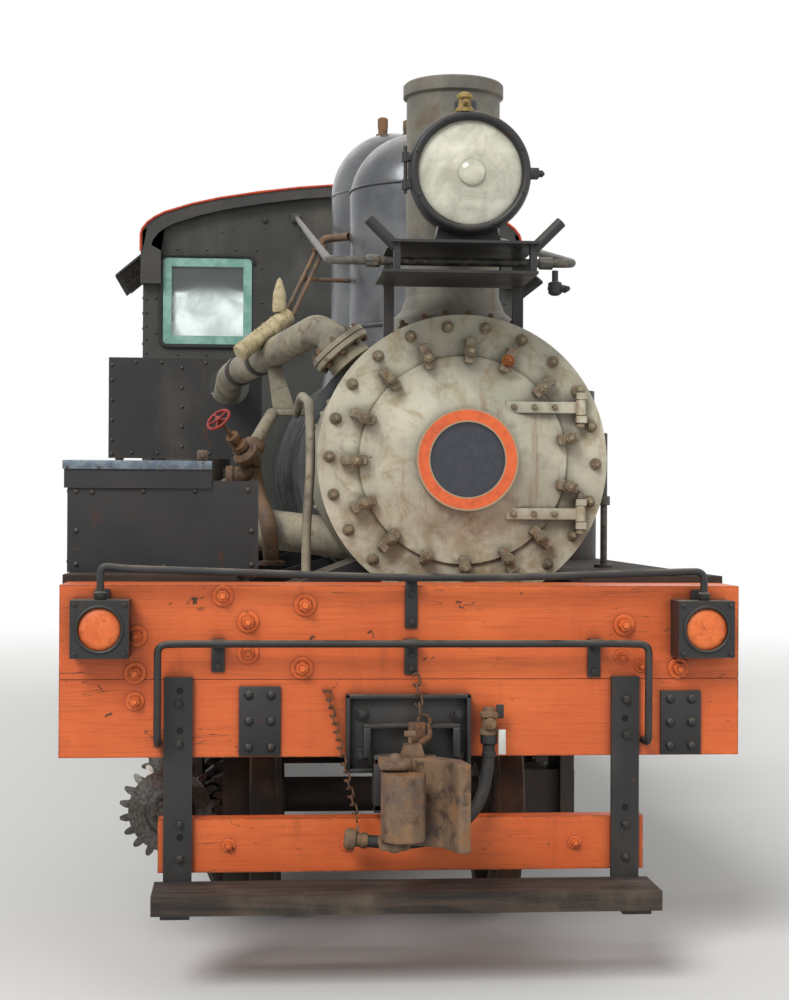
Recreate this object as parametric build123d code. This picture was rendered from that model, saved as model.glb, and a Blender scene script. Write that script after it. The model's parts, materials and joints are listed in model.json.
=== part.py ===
from build123d import *
import math
import os

os.makedirs("parts", exist_ok=True)

# Steam locomotive with geared drive, 914 mm gauge, in millimetres.
# X points to the left hand of someone who drives it, which is the right of someone facing it.
# Y points to the rear, Z up from the lowest points of the wheel flanges.

# Track and wheels
GAUGE = 914.0
WHEEL_RADIUS = 457.0
FLANGE_DEPTH = 25.0
FLANGE_THICK = 30.0
TYRE_WIDTH = 127.0
AXLE_Z = WHEEL_RADIUS + FLANGE_DEPTH
AXLE_RADIUS = 72.0
WHEEL_BACK_X = GAUGE / 2 - 6.0 - FLANGE_THICK
WHEEL_FACE_X = WHEEL_BACK_X + TYRE_WIDTH

# Bevel gears between the side shaft and the wheels
GEAR_MODULE = 18.5
GEAR_TEETH = 41
PINION_TEETH = 20
GEAR_RADIUS = GEAR_MODULE * GEAR_TEETH / 2
PINION_RADIUS = GEAR_MODULE * PINION_TEETH / 2
TOOTH_LENGTH = 88.0
TOOTH_BACKLASH = 3.2
PRESSURE_ANGLE = 20.0
SHAFT_X = -860.0
SHAFT_RADIUS = 45.0

# Trucks
WHEELBASE = 1422.0
TRUCK_SPACING = 7000.0
FRONT_TRUCK_BACK = 1850.0
SIDE_FRAME_X = 768.0
SIDE_FRAME_WIDTH = 56.0
JOURNAL_END_X = 806.0
BEARING_PLAY = 0.05

# Lengths along the locomotive, measured back from the front beam's face
BODY_LENGTH = 10700.0
FRONT = -BODY_LENGTH / 2
REAR = BODY_LENGTH / 2
FRONT_TRUCK_Y = FRONT + FRONT_TRUCK_BACK
REAR_TRUCK_Y = FRONT_TRUCK_Y + TRUCK_SPACING

# Main frame and end beams
GIRDER_X = 500.0
GIRDER_TOP = 1275.0
GIRDER_DEPTH = 250.0
GIRDER_WIDTH = 130.0
GIRDER_WEB = 12.0
GIRDER_FLANGE = 18.0
DECK_BOTTOM = 1390.0
DECK_Z = 1430.0
BEAM_WIDTH = 2438.0
BEAM_THICK = 305.0
BEAM_BOTTOM = 795.0
BEAM_TOP = 1405.0
BEAM_SEAM = 1070.0
SEAM_GAP = 2.0
FIT = 0.3

# Footboards under the beams
STRAP_X = 800.0
STRAP_WIDTH = 100.0
STRAP_THICK = 20.0
STRAP_TOP = 1080.0
LOWER_BEAM_WIDTH = 1740.0
LOWER_BEAM_TOP = 577.0
LOWER_BEAM_BOTTOM = 387.0
LOWER_BEAM_THICK = 75.0
PLANK_WIDTH = 1760.0
PLANK_TOP = 361.0
PLANK_THICK = 68.0
PLANK_DEPTH = 250.0

# Couplers
COUPLER_Z = 680.0
COUPLER_REACH = 470.0

# Boiler
BOILER_X = 266.0
BOILER_Z = 1868.0
SMOKEBOX_RADIUS = 552.0
SMOKEBOX_WALL = 12.0
RING_RADIUS = 562.0
RING_BACK = 480.0
RING_THICK = 40.0
DOOR_OPENING = 380.0
DOOR_RADIUS = 402.0
SMOKEBOX_END = 1750.0
JACKET_RADIUS = 600.0
TAPER_START = 4350.0
TAPER_END = 4950.0
FIREBOX_RADIUS = 650.0
FIREBOX_HALF = 540.0
FIREBOX_END = 7150.0

# Stack, domes and headlight
STACK_BACK = 880.0
STACK_RADIUS = 190.0
STACK_TOP = 3409.0
FRONT_DOME_BACK = 2400.0
FRONT_DOME_RADIUS = 338.0
FRONT_DOME_TOP = 3524.0
REAR_DOME_BACK = 3900.0
REAR_DOME_RADIUS = 360.0
REAR_DOME_TOP = 3840.0
LAMP_X = 271.0
LAMP_Z = 2954.0
LAMP_BACK = 350.0
LAMP_RADIUS = 232.0
SHELF_Z = 2665.0
LOWER_SHELF_Z = 2555.0

# Cab and bunker
CAB_BACK = 6000.0
CAB_END = 7950.0
CAB_HALF = 1295.0
CAB_FLOOR_Z = DECK_Z
CAB_WALL = 6.0
EAVE_Z = 3500.0
ROOF_TOP = 3911.0
AWNING_X = 1490.0
BUNKER_END = 10390.0
BUNKER_TOP = 2750.0

# Engine
ENGINE_FIRST = 3700.0
ENGINE_PITCH = 430.0
ENGINE_COUNT = 3
CYLINDER_BOTTOM = 1700.0
CYLINDER_TOP = 2290.0
CYLINDER_RADIUS = 185.0
CRANK_THROW = 152.0

# Universal joints and telescopic shafts between the engine and the trucks
JOINT_BALL = 36.0
JOINT_FLANGE = 56.0
JOINT_GAP = 45.0
SLEEVE_GAP = 8.0
SLIP_BAR = 60.0
SLIP_PLAY = 0.3
SLIP_SLEEVE = 86.0

NODES = {}


def back(distance):
    """Y of a place so far behind the front beam's face."""
    return FRONT + distance


def block(x0, x1, y0, y1, z0, z1):
    """Box between two corners."""
    middle = Pos((x0 + x1) / 2, (y0 + y1) / 2, (z0 + z1) / 2)
    return middle * Box(abs(x1 - x0), abs(y1 - y0), abs(z1 - z0))


def rod_x(x0, x1, y, z, radius):
    return Pos((x0 + x1) / 2, y, z) * Rot(Y=90) * Cylinder(radius, abs(x1 - x0))


def rod_y(x, y0, y1, z, radius):
    return Pos(x, (y0 + y1) / 2, z) * Rot(X=90) * Cylinder(radius, abs(y1 - y0))


def rod_z(x, y, z0, z1, radius):
    return Pos(x, y, (z0 + z1) / 2) * Cylinder(radius, abs(z1 - z0))


def plate_xz(points, y0, y1):
    """Plate with an outline in the XZ plane, from y0 to y1."""
    face = make_face(Polyline(*[(x, y0, z) for x, z in points], close=True))
    return extrude(face, abs(y1 - y0), dir=(0, math.copysign(1, y1 - y0), 0))


def plate_yz(points, x0, x1):
    """Plate with an outline in the YZ plane, from x0 to x1."""
    face = make_face(Polyline(*[(x0, y, z) for y, z in points], close=True))
    return extrude(face, abs(x1 - x0), dir=(math.copysign(1, x1 - x0), 0, 0))


def plate_xy(points, z0, z1):
    """Plate with an outline in the XY plane, from z0 to z1."""
    face = make_face(Polyline(*[(x, y, z0) for x, y in points], close=True))
    return extrude(face, abs(z1 - z0), dir=(0, 0, math.copysign(1, z1 - z0)))


def turned_z(x, y, points):
    """Solid of revolution about an upright axis; points are (radius, Z)."""
    face = make_face(Polyline(*[(r, 0, z) for r, z in points], close=True))
    return Pos(x, y, 0) * revolve(face, Axis.Z)


def turned_y(x, z, points):
    """Solid of revolution about an axis along Y; points are (radius, Y)."""
    face = make_face(Polyline(*[(r, y, 0) for r, y in points], close=True))
    return Pos(x, 0, z) * revolve(face, Axis.Y)


def turned_x(y, z, points):
    """Solid of revolution about an axis along X; points are (radius, X)."""
    face = make_face(Polyline(*[(x, r, 0) for r, x in points], close=True))
    return Pos(0, y, z) * revolve(face, Axis.X)


def piped(points, radius, bends):
    """Round bar or pipe along straight runs joined by tangent arcs."""
    path = FilletPolyline(*points, radius=bends)
    return sweep(Plane(path @ 0, z_dir=path % 0) * Circle(radius), path=path)


def joined(*pieces):
    """One solid from pieces that overlap."""
    body = pieces[0]
    rest = list(pieces[1:])
    return body.fuse(*rest) if rest else body


def mirror_x(piece):
    return mirror(piece, Plane.YZ)


def turned_round(piece):
    """The same piece for the other end of the locomotive."""
    return Rot(Z=180) * piece


def keep(name, *pieces):
    """Record the solids of one named node."""
    solids = []
    for piece in pieces:
        solids.extend(piece.solids())
    NODES.setdefault(name, []).extend(solids)


# Bevel teeth: each flank line runs to the point where the two axes meet

CONE_LENGTH = math.hypot(GEAR_RADIUS, PINION_RADIUS)
GEAR_CONE = math.atan2(GEAR_RADIUS, PINION_RADIUS)
PINION_CONE = math.atan2(PINION_RADIUS, GEAR_RADIUS)
INNER_SCALE = 1.0 - TOOTH_LENGTH / CONE_LENGTH
ADDENDUM = 0.95 * GEAR_MODULE
DEDENDUM = 1.25 * GEAR_MODULE
PITCH_HALF = math.pi * GEAR_MODULE / 4 - TOOTH_BACKLASH / 2


def tooth_half_width(height, virtual_radius):
    """Half the thickness of an involute tooth at a height above its pitch circle."""
    flank = math.radians(PRESSURE_ANGLE)
    base = virtual_radius * math.cos(flank)
    radius = virtual_radius + height
    turn = PITCH_HALF / virtual_radius + math.tan(flank) - flank
    if radius > base:
        angle = math.acos(base / radius)
        turn -= math.tan(angle) - angle
    return turn * radius


def tooth_gap(cone_angle):
    """Space between two teeth, centred on local X, for a gear about local Z with its apex at 0."""
    virtual_radius = CONE_LENGTH * math.tan(cone_angle)
    along = Vector(math.sin(cone_angle), 0, math.cos(cone_angle))
    up = Vector(math.cos(cone_angle), 0, -math.sin(cone_angle))
    side = Vector(0, 1, 0)
    sections = []
    for scale in (1.05, INNER_SCALE - 0.06):
        left = []
        right = []
        for height in (ADDENDUM + 6, ADDENDUM / 2, 0.0, -DEDENDUM / 2, -DEDENDUM):
            half_pitch = math.pi * GEAR_MODULE / 2 * (virtual_radius + height) / virtual_radius
            half = half_pitch - tooth_half_width(height, virtual_radius)
            level = along * (CONE_LENGTH * scale) + up * (height * scale)
            left.append(level + side * (half * scale))
            right.append(level - side * (half * scale))
        sections.append(make_face(Polyline(*left, *reversed(right), close=True)))
    return loft(sections, ruled=True)


def cone_point(cone_angle, height, scale):
    """Radius and axial place of a point on a tooth's middle plane."""
    radius = CONE_LENGTH * scale * math.sin(cone_angle) + height * scale * math.cos(cone_angle)
    axial = CONE_LENGTH * scale * math.cos(cone_angle) - height * scale * math.sin(cone_angle)
    return radius, axial


def bevel_wheel(teeth, cone_angle, points):
    """Turned blank with its teeth cut, a tooth's middle on local X."""
    face = make_face(Polyline(*[(r, 0, z) for r, z in points], close=True))
    gap = tooth_gap(cone_angle)
    gaps = [Rot(Z=360.0 * (n + 0.5) / teeth) * gap for n in range(teeth)]
    return revolve(face, Axis.Z).cut(*gaps)


def crown_gear():
    """Ring gear on the outer face of a wheel; local Z points from the shaft to the wheel."""
    root = cone_point(GEAR_CONE, -DEDENDUM, 1.0)
    inner = cone_point(GEAR_CONE, -DEDENDUM, INNER_SCALE)
    seat = -SHAFT_X - WHEEL_FACE_X
    foot = -SHAFT_X - WHEEL_BACK_X - 76
    return bevel_wheel(GEAR_TEETH, GEAR_CONE, [
        cone_point(GEAR_CONE, ADDENDUM, INNER_SCALE),
        cone_point(GEAR_CONE, ADDENDUM, 1.0),
        root,
        (root[0] - 4, seat),
        (inner[0] + 30, seat),
        (inner[0] + 30, foot),
        (inner[0] - 24, foot),
        (inner[0] - 24, inner[1] + 30),
        inner,
    ])


def bevel_pinion():
    """Pinion on the side shaft; local Z points from the axle's centre to the pinion's back."""
    root = cone_point(PINION_CONE, -DEDENDUM, 1.0)
    inner = cone_point(PINION_CONE, -DEDENDUM, INNER_SCALE)
    hub = SHAFT_RADIUS + 38.0
    return Rot(Z=180.0 / PINION_TEETH) * bevel_wheel(PINION_TEETH, PINION_CONE, [
        (SHAFT_RADIUS - 5, inner[1] - 34),
        (hub, inner[1] - 34),
        (hub, inner[1] - 6),
        inner,
        cone_point(PINION_CONE, ADDENDUM, INNER_SCALE),
        cone_point(PINION_CONE, ADDENDUM, 1.0),
        root,
        (hub + 18, root[1] + 16),
        (hub, root[1] + 44),
        (SHAFT_RADIUS - 5, root[1] + 44),
    ])


CROWN_GEAR = crown_gear()
BEVEL_PINION = bevel_pinion()


# Wheelsets, built about a truck's centre

def wheel_profile(side):
    """Outline of one wheel as (radius, X), with its flange inward."""
    back_x = WHEEL_BACK_X
    face_x = WHEEL_FACE_X
    flange = WHEEL_RADIUS + FLANGE_DEPTH
    hub = 130.0
    points = [
        (AXLE_RADIUS - 6, back_x - 18),
        (hub, back_x - 18),
        (hub + 20, back_x + 44),
        (WHEEL_RADIUS - 92, back_x + 54),
        (WHEEL_RADIUS - 62, back_x),
        (flange - 12, back_x),
        (flange, back_x + 10),
        (flange, back_x + 18),
        (WHEEL_RADIUS + 2, back_x + FLANGE_THICK),
        (WHEEL_RADIUS - 4, face_x - 8),
        (WHEEL_RADIUS - 12, face_x),
        (WHEEL_RADIUS - 74, face_x),
        (WHEEL_RADIUS - 94, back_x + 84),
        (hub + 20, back_x + 74),
        (hub, face_x),
        (AXLE_RADIUS - 6, face_x),
    ]
    return [(r, side * x) for r, x in points]


def wheelset(y):
    axle = turned_x(y, AXLE_Z, [
        (0, -JOURNAL_END_X + 26),
        (AXLE_RADIUS - 12, -JOURNAL_END_X + 26),
        (AXLE_RADIUS - 12, -WHEEL_FACE_X - 10),
        (AXLE_RADIUS, -WHEEL_FACE_X),
        (AXLE_RADIUS, WHEEL_FACE_X),
        (AXLE_RADIUS - 12, WHEEL_FACE_X + 10),
        (AXLE_RADIUS - 12, JOURNAL_END_X - 26),
        (0, JOURNAL_END_X - 26),
    ])
    wheels = [turned_x(y, AXLE_Z, wheel_profile(side)) for side in (-1, 1)]
    gear = Pos(SHAFT_X, y, AXLE_Z) * Rot(Y=90) * Rot(Z=GEAR_PHASE) * CROWN_GEAR
    return joined(axle, *wheels, gear)


GEAR_PHASE = -90.0


def side_shaft(truck_y, drive_end):
    """Line shaft of one truck; the joint with the engine's shaft is at its drive end."""
    front_y = truck_y - WHEELBASE / 2
    rear_y = truck_y + WHEELBASE / 2
    pinions = []
    for axle_y in (front_y, rear_y):
        place = Pos(SHAFT_X, axle_y, AXLE_Z) * Rot(X=90)
        pinions.append(place * BEVEL_PINION)
    nose_y = front_y - NOSE_LENGTH
    tail_y = rear_y + SHAFT_TAIL
    end_y = nose_y if drive_end < 0 else tail_y
    shaft = rod_y(SHAFT_X, nose_y, tail_y, AXLE_Z, SHAFT_RADIUS)
    nut = rod_y(SHAFT_X, nose_y + 8, nose_y + 38, AXLE_Z, 62)
    flange = rod_y(SHAFT_X, end_y - drive_end * JOINT_GAP, end_y - drive_end * (JOINT_GAP + 25),
                   AXLE_Z, JOINT_FLANGE)
    shaft = shaft.cut(rod_y(SHAFT_X, end_y, end_y - drive_end * JOINT_GAP, AXLE_Z, 100))
    neck = rod_y(SHAFT_X, end_y, end_y - drive_end * (JOINT_GAP + 5), AXLE_Z, 22)
    ball = Pos(SHAFT_X, end_y, AXLE_Z) * Sphere(JOINT_BALL)
    pieces = [shaft, flange, neck, ball] + pinions
    if drive_end > 0:
        pieces.append(nut)
    return joined(*pieces)


SHAFT_TAIL = 192.0
NOSE_LENGTH = GEAR_RADIUS + 150.0
TOP_BAR_Z = AXLE_Z + 218.0
TIE_BAR_Z = AXLE_Z - 250.0
BAR_DEPTH = 42.0
BOX_HALF = 112.0
COLUMN_Y = 190.0
COLUMN_THICK = 40.0
BOLSTER_TOP = 905.0
CENTRE_PLATE_TOP = 960.0


def side_frame(truck_y, side):
    """One side of a truck with its bars, columns and journal boxes."""
    inner = SIDE_FRAME_X - SIDE_FRAME_WIDTH / 2
    outer = SIDE_FRAME_X + SIDE_FRAME_WIDTH / 2
    end = WHEELBASE / 2 + BOX_HALF + 45
    top = TOP_BAR_Z
    outline = [
        (-end, top), (-end, top + BAR_DEPTH), (-end + 260, top + BAR_DEPTH),
        (-COLUMN_Y - 60, top + BAR_DEPTH + 48), (COLUMN_Y + 60, top + BAR_DEPTH + 48),
        (end - 260, top + BAR_DEPTH), (end, top + BAR_DEPTH), (end, top),
        (end - 260, top), (COLUMN_Y + 60, top + 40), (-COLUMN_Y - 60, top + 40),
        (-end + 260, top),
    ]
    bars = [plate_yz([(truck_y + y, z) for y, z in outline], side * inner, side * outer)]
    tie = block(side * inner, side * outer, truck_y - end, truck_y + end,
                TIE_BAR_Z, TIE_BAR_Z + BAR_DEPTH / 2)
    bars.append(tie)
    for y in (-COLUMN_Y - COLUMN_THICK, COLUMN_Y):
        bars.append(block(side * inner, side * outer, truck_y + y,
                          truck_y + y + COLUMN_THICK, TIE_BAR_Z, top + 60))
    seat = block(side * (inner - 50), side * outer, truck_y - COLUMN_Y - 5, truck_y + COLUMN_Y + 5,
                 AXLE_Z - 120, AXLE_Z - 85)
    bars.append(seat)
    for direction in (-1, 1):
        y = truck_y + direction * WHEELBASE / 2
        box_in = WHEEL_FACE_X + 22
        bars.append(block(side * box_in, side * JOURNAL_END_X, y - BOX_HALF, y + BOX_HALF,
                          AXLE_Z - BOX_HALF, AXLE_Z + BOX_HALF))
        for jaw in (-1, 1):
            bars.append(block(side * inner, side * outer, y + jaw * (BOX_HALF - 5),
                              y + jaw * (BOX_HALF + 45), TIE_BAR_Z, top + 5))
        bars.append(block(side * inner, side * outer, y - BOX_HALF, y + BOX_HALF,
                          AXLE_Z + BOX_HALF - 5, top + 5))
        if side < 0:
            bars.append(rod_y(SHAFT_X, y - 80, y + 80, AXLE_Z, 88))
    return bars


def truck_frame(truck_y):
    pieces = side_frame(truck_y, 1) + side_frame(truck_y, -1)
    inner = SIDE_FRAME_X - SIDE_FRAME_WIDTH / 2
    bolster = plate_xz([
        (-inner - 60, AXLE_Z + 90), (-inner - 60, AXLE_Z + 180), (-420, BOLSTER_TOP),
        (420, BOLSTER_TOP), (inner + 60, AXLE_Z + 180), (inner + 60, AXLE_Z + 90),
        (330, AXLE_Z + 90), (-330, AXLE_Z + 90),
    ], truck_y - COLUMN_Y, truck_y + COLUMN_Y)
    pieces.append(bolster)
    pieces.append(rod_z(0, truck_y, BOLSTER_TOP - 5, CENTRE_PLATE_TOP, 170))
    body = joined(*pieces)
    cuts = []
    for direction in (-1, 1):
        y = truck_y + direction * WHEELBASE / 2
        for side in (-1, 1):
            cuts.append(rod_x(side * (WHEEL_FACE_X + 20), side * (JOURNAL_END_X - 22), y, AXLE_Z,
                              AXLE_RADIUS - 12 + BEARING_PLAY))
            cuts.append(rod_x(side * (WHEEL_FACE_X + 20), side * (WHEEL_FACE_X + 30), y, AXLE_Z,
                              AXLE_RADIUS + 4))
    cuts.append(rod_y(SHAFT_X, truck_y - WHEELBASE, truck_y + WHEELBASE, AXLE_Z,
                      SHAFT_RADIUS + BEARING_PLAY))
    return body.cut(*cuts)


def spring_nests(truck_y):
    """Coil springs under the bolster's ends, as plain sleeves."""
    nests = []
    for side in (-1, 1):
        for y in (-95, 95):
            sleeve = rod_z(side * (SIDE_FRAME_X - 26), truck_y + y, AXLE_Z - 85 + FIT,
                           AXLE_Z + 90 - FIT, 47)
            nests.append(sleeve)
    return nests


for number, truck_y in ((1, FRONT_TRUCK_Y), (2, REAR_TRUCK_Y)):
    place = "front" if number == 1 else "rear"
    keep("truck_frame_" + place, truck_frame(truck_y))
    keep("truck_springs_" + place, *spring_nests(truck_y))
    keep("side_shaft_" + place, side_shaft(truck_y, 1 if number == 1 else -1))
    for axle in (0, 1):
        y = truck_y + (axle - 0.5) * WHEELBASE
        keep("wheelset_%d" % (2 * number - 1 + axle), wheelset(y))


# Main frame: two rolled girders with bolsters, engine bearers and end plates

def girder(x):
    half = GIRDER_WIDTH / 2
    web = GIRDER_WEB / 2
    top = GIRDER_TOP
    low = top - GIRDER_DEPTH
    f = GIRDER_FLANGE
    outline = [
        (x - half, low), (x + half, low), (x + half, low + f), (x + web, low + f),
        (x + web, top - f), (x + half, top - f), (x + half, top), (x - half, top),
        (x - half, top - f), (x - web, top - f), (x - web, low + f), (x - half, low + f),
    ]
    return plate_xz(outline, FRONT + BEAM_THICK, REAR - BEAM_THICK)


def body_bolster(truck_y):
    arm = plate_xz([
        (-GIRDER_X - 20, GIRDER_TOP - GIRDER_DEPTH + 10), (-220, GIRDER_TOP - GIRDER_DEPTH - 28),
        (220, GIRDER_TOP - GIRDER_DEPTH - 28), (GIRDER_X + 20, GIRDER_TOP - GIRDER_DEPTH + 10),
        (GIRDER_X + 20, GIRDER_TOP - 40), (-GIRDER_X - 20, GIRDER_TOP - 40),
    ], truck_y - 150, truck_y + 150)
    plate = rod_z(0, truck_y, CENTRE_PLATE_TOP + FIT, CENTRE_PLATE_TOP + FIT + 40, 175)
    return [arm, plate]


frame_pieces = [girder(-GIRDER_X), girder(GIRDER_X)]
frame_pieces += body_bolster(FRONT_TRUCK_Y) + body_bolster(REAR_TRUCK_Y)
for distance in (BEAM_THICK, 3100.0, 5400.0, BODY_LENGTH - BEAM_THICK - 60):
    y = back(distance)
    frame_pieces.append(block(-GIRDER_X, GIRDER_X, y, y + 60,
                              GIRDER_TOP - GIRDER_DEPTH + 30, GIRDER_TOP - 30))


def outrigger_low(x):
    """Height of an outrigger's sloping lower edge."""
    low = GIRDER_TOP - GIRDER_DEPTH + 30
    return low + (DECK_BOTTOM - 50 - low) * (x - GIRDER_X) / (1200.0 - GIRDER_X)


def outrigger(side, distance):
    """Bracket from a girder's web that carries a deck."""
    beside_firebox = side > 0 and distance > TAPER_END
    inner_x = BOILER_X + FIREBOX_HALF + 24.0 if beside_firebox else 660.0
    points = [(GIRDER_X, GIRDER_TOP - GIRDER_DEPTH + 30), (1200.0, DECK_BOTTOM - 50),
              (1200.0, DECK_BOTTOM - FIT), (inner_x, DECK_BOTTOM - FIT),
              (inner_x, GIRDER_TOP - 5), (GIRDER_X, GIRDER_TOP - 5)]
    y = back(distance)
    return plate_xz([(side * x, z) for x, z in points], y - 12, y + 12)


for distance in (420.0, 1200.0, 2050.0, 2780.0):
    frame_pieces.append(outrigger(-1, distance))
for distance in (420.0, 1200.0, 2100.0, 3000.0, 3900.0, 4800.0):
    frame_pieces.append(outrigger(1, distance))
for distance in (5200.0, 5900.0, 6800.0, 7700.0):
    frame_pieces.append(outrigger(-1, distance))
    frame_pieces.append(outrigger(1, distance))
keep("main_frame", joined(*frame_pieces))


# End beams: two timbers each, with washers, straps and footboards

def end_beam():
    half = BEAM_WIDTH / 2
    upper = block(-half, half, FRONT, FRONT + BEAM_THICK - FIT, BEAM_SEAM + SEAM_GAP, BEAM_TOP)
    lower = block(-half, half, FRONT, FRONT + BEAM_THICK - FIT, BEAM_BOTTOM, BEAM_SEAM)
    return [upper, lower]


def footboard():
    straps = []
    for side in (-1, 1):
        x = side * STRAP_X
        y = FRONT - FIT
        straps.append(joined(
            block(x - STRAP_WIDTH / 2, x + STRAP_WIDTH / 2, y - STRAP_THICK, y,
                  PLANK_TOP - PLANK_THICK - STRAP_THICK - FIT, STRAP_TOP),
            block(x - STRAP_WIDTH / 2, x + STRAP_WIDTH / 2, y - PLANK_DEPTH + 20, y,
                  PLANK_TOP - PLANK_THICK - STRAP_THICK - FIT, PLANK_TOP - PLANK_THICK - FIT)))
    lower = block(-LOWER_BEAM_WIDTH / 2, LOWER_BEAM_WIDTH / 2,
                  FRONT, FRONT + LOWER_BEAM_THICK,
                  LOWER_BEAM_BOTTOM, LOWER_BEAM_TOP)
    plank = block(-PLANK_WIDTH / 2, PLANK_WIDTH / 2, FRONT - STRAP_THICK - 2 * FIT - PLANK_DEPTH,
                  FRONT - STRAP_THICK - 2 * FIT, PLANK_TOP - PLANK_THICK, PLANK_TOP)
    return straps, lower, plank


beam = end_beam()
straps, lower_beam, plank = footboard()
keep("end_beams", *beam, *[turned_round(piece) for piece in beam])
keep("footboard_straps", *straps, *[turned_round(piece) for piece in straps])
keep("end_beams", lower_beam, turned_round(lower_beam))
keep("footboard_planks", plank, turned_round(plank))


# Couplers: pocket on the beam, head, swinging knuckle

KNUCKLE_PIN_X = -58.0
KNUCKLE_PIN_Y = FRONT - COUPLER_REACH + 120.0
KNUCKLE_HALF = 114.0


def coupler():
    y = FRONT - FIT
    pocket = joined(
        block(-220, 220, y - 40, y, COUPLER_Z + 165, COUPLER_Z + 345),
        block(-150, 150, y - 60, y, COUPLER_Z - 60, COUPLER_Z + 170))
    pocket = pocket.cut(block(-72, 72, y - 61, y + 1, COUPLER_Z - 40 - FIT, COUPLER_Z + 92))
    shank = block(-62, 62, KNUCKLE_PIN_Y + 60, FRONT + 20, COUPLER_Z - 40, COUPLER_Z + 85)
    top = COUPLER_Z + 150
    low = COUPLER_Z - 150
    head = plate_xy([
        (-62, KNUCKLE_PIN_Y + 130), (62, KNUCKLE_PIN_Y + 130), (170, KNUCKLE_PIN_Y + 20),
        (190, FRONT - COUPLER_REACH + 20), (150, FRONT - COUPLER_REACH + 10),
        (104, KNUCKLE_PIN_Y + 4), (20, KNUCKLE_PIN_Y + 52), (-30, KNUCKLE_PIN_Y + 54),
        (-90, KNUCKLE_PIN_Y + 54),
    ], low, top)
    ears = []
    for z0, z1 in ((KNUCKLE_Z0 - 36, KNUCKLE_Z0 - 2), (KNUCKLE_Z1 + 2, KNUCKLE_Z1 + 36)):
        ears.append(plate_xy([
            (-110, KNUCKLE_PIN_Y + 100), (-112, KNUCKLE_PIN_Y - 20), (-85, KNUCKLE_PIN_Y - 48),
            (-30, KNUCKLE_PIN_Y - 48), (-5, KNUCKLE_PIN_Y - 20), (0, KNUCKLE_PIN_Y + 100),
        ], z0, z1))
    pin = rod_z(KNUCKLE_PIN_X, KNUCKLE_PIN_Y, KNUCKLE_Z0 - 50, KNUCKLE_Z1 + 60, 20)
    body = joined(shank, head, *ears, pin)
    return pocket, body


KNUCKLE_Z0 = COUPLER_Z - KNUCKLE_HALF
KNUCKLE_Z1 = COUPLER_Z + KNUCKLE_HALF


def knuckle():
    p = KNUCKLE_PIN_Y
    face = FRONT - COUPLER_REACH
    shape = plate_xy([
        (-104, p + 30), (-108, p - 40), (-96, face + 30), (-60, face), (-10, face + 6),
        (34, face + 40), (44, face + 78), (20, face + 92), (-6, p - 20), (0, p + 40),
        (-40, p + 47),
    ], KNUCKLE_Z0, KNUCKLE_Z1)
    bore = rod_z(KNUCKLE_PIN_X, KNUCKLE_PIN_Y, KNUCKLE_Z0 - 1, KNUCKLE_Z1 + 1, 20.05)
    return shape.cut(bore)


pocket, head = coupler()
keep("coupler_pockets", pocket, turned_round(pocket))
keep("coupler_heads", head, turned_round(head))
keep("knuckle_front", knuckle())
keep("knuckle_rear", turned_round(knuckle()))


# Smokebox, its front ring and hinged door

RING_FACE = back(RING_BACK)
shell = turned_y(BOILER_X, BOILER_Z, [
    (SMOKEBOX_RADIUS - SMOKEBOX_WALL, RING_FACE + RING_THICK),
    (SMOKEBOX_RADIUS, RING_FACE + RING_THICK),
    (SMOKEBOX_RADIUS, back(SMOKEBOX_END)),
    (0, back(SMOKEBOX_END)),
    (0, back(SMOKEBOX_END) - 30),
    (SMOKEBOX_RADIUS - SMOKEBOX_WALL, back(SMOKEBOX_END) - 30),
])
ring = turned_y(BOILER_X, BOILER_Z, [
    (DOOR_OPENING, RING_FACE),
    (RING_RADIUS, RING_FACE),
    (RING_RADIUS, RING_FACE + RING_THICK + 4),
    (SMOKEBOX_RADIUS - SMOKEBOX_WALL - 2, RING_FACE + RING_THICK + 4),
    (SMOKEBOX_RADIUS - SMOKEBOX_WALL - 2, RING_FACE + 24),
    (DOOR_OPENING, RING_FACE + 24),
])
saddle_y0 = back(700.0)
saddle_y1 = back(1180.0)
saddle = plate_xz([
    (-GIRDER_X - 50, GIRDER_TOP + FIT), (GIRDER_X + 60, GIRDER_TOP + FIT),
    (GIRDER_X + 60, GIRDER_TOP + 40), (BOILER_X + 330, BOILER_Z - 370),
    (BOILER_X - 330, BOILER_Z - 370), (-GIRDER_X - 50, GIRDER_TOP + 40),
], saddle_y0, saddle_y1)

HINGE_X = BOILER_X + 452.0
HINGE_Y = RING_FACE - 34.0
DISH = 52.0
door = turned_y(BOILER_X, BOILER_Z, [
    (0, RING_FACE - 30 - DISH), (150, RING_FACE - 26 - DISH), (250, RING_FACE - 14 - DISH),
    (313, RING_FACE - 40), (318, RING_FACE - 16), (DOOR_RADIUS, RING_FACE - 16),
    (DOOR_RADIUS, RING_FACE - FIT), (0, RING_FACE - FIT),
])
straps_door = []
for z in (BOILER_Z + 205, BOILER_Z - 205):
    straps_door.append(block(BOILER_X + 160, HINGE_X, HINGE_Y - 10, HINGE_Y + 12, z - 22, z + 22))
    straps_door.append(rod_z(HINGE_X, HINGE_Y, z - 30, z + 30, 20))
door = joined(door, *straps_door)
for z in (BOILER_Z + 205, BOILER_Z - 205):
    door = door.cut(rod_z(HINGE_X, HINGE_Y, z - 40, z + 40, 11.05))
keep("smokebox_door", door)

hinge_posts = []
for z in (BOILER_Z + 205, BOILER_Z - 205):
    hinge_posts.append(joined(
        rod_z(HINGE_X, HINGE_Y, z - 62, z + 62, 11),
        block(HINGE_X - 18, HINGE_X + 22, HINGE_Y - 16, RING_FACE + 5, z + 32, z + 58),
        block(HINGE_X - 18, HINGE_X + 22, HINGE_Y - 16, RING_FACE + 5, z - 58, z - 32)))
keep("smokebox", joined(shell, ring, *hinge_posts))

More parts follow.
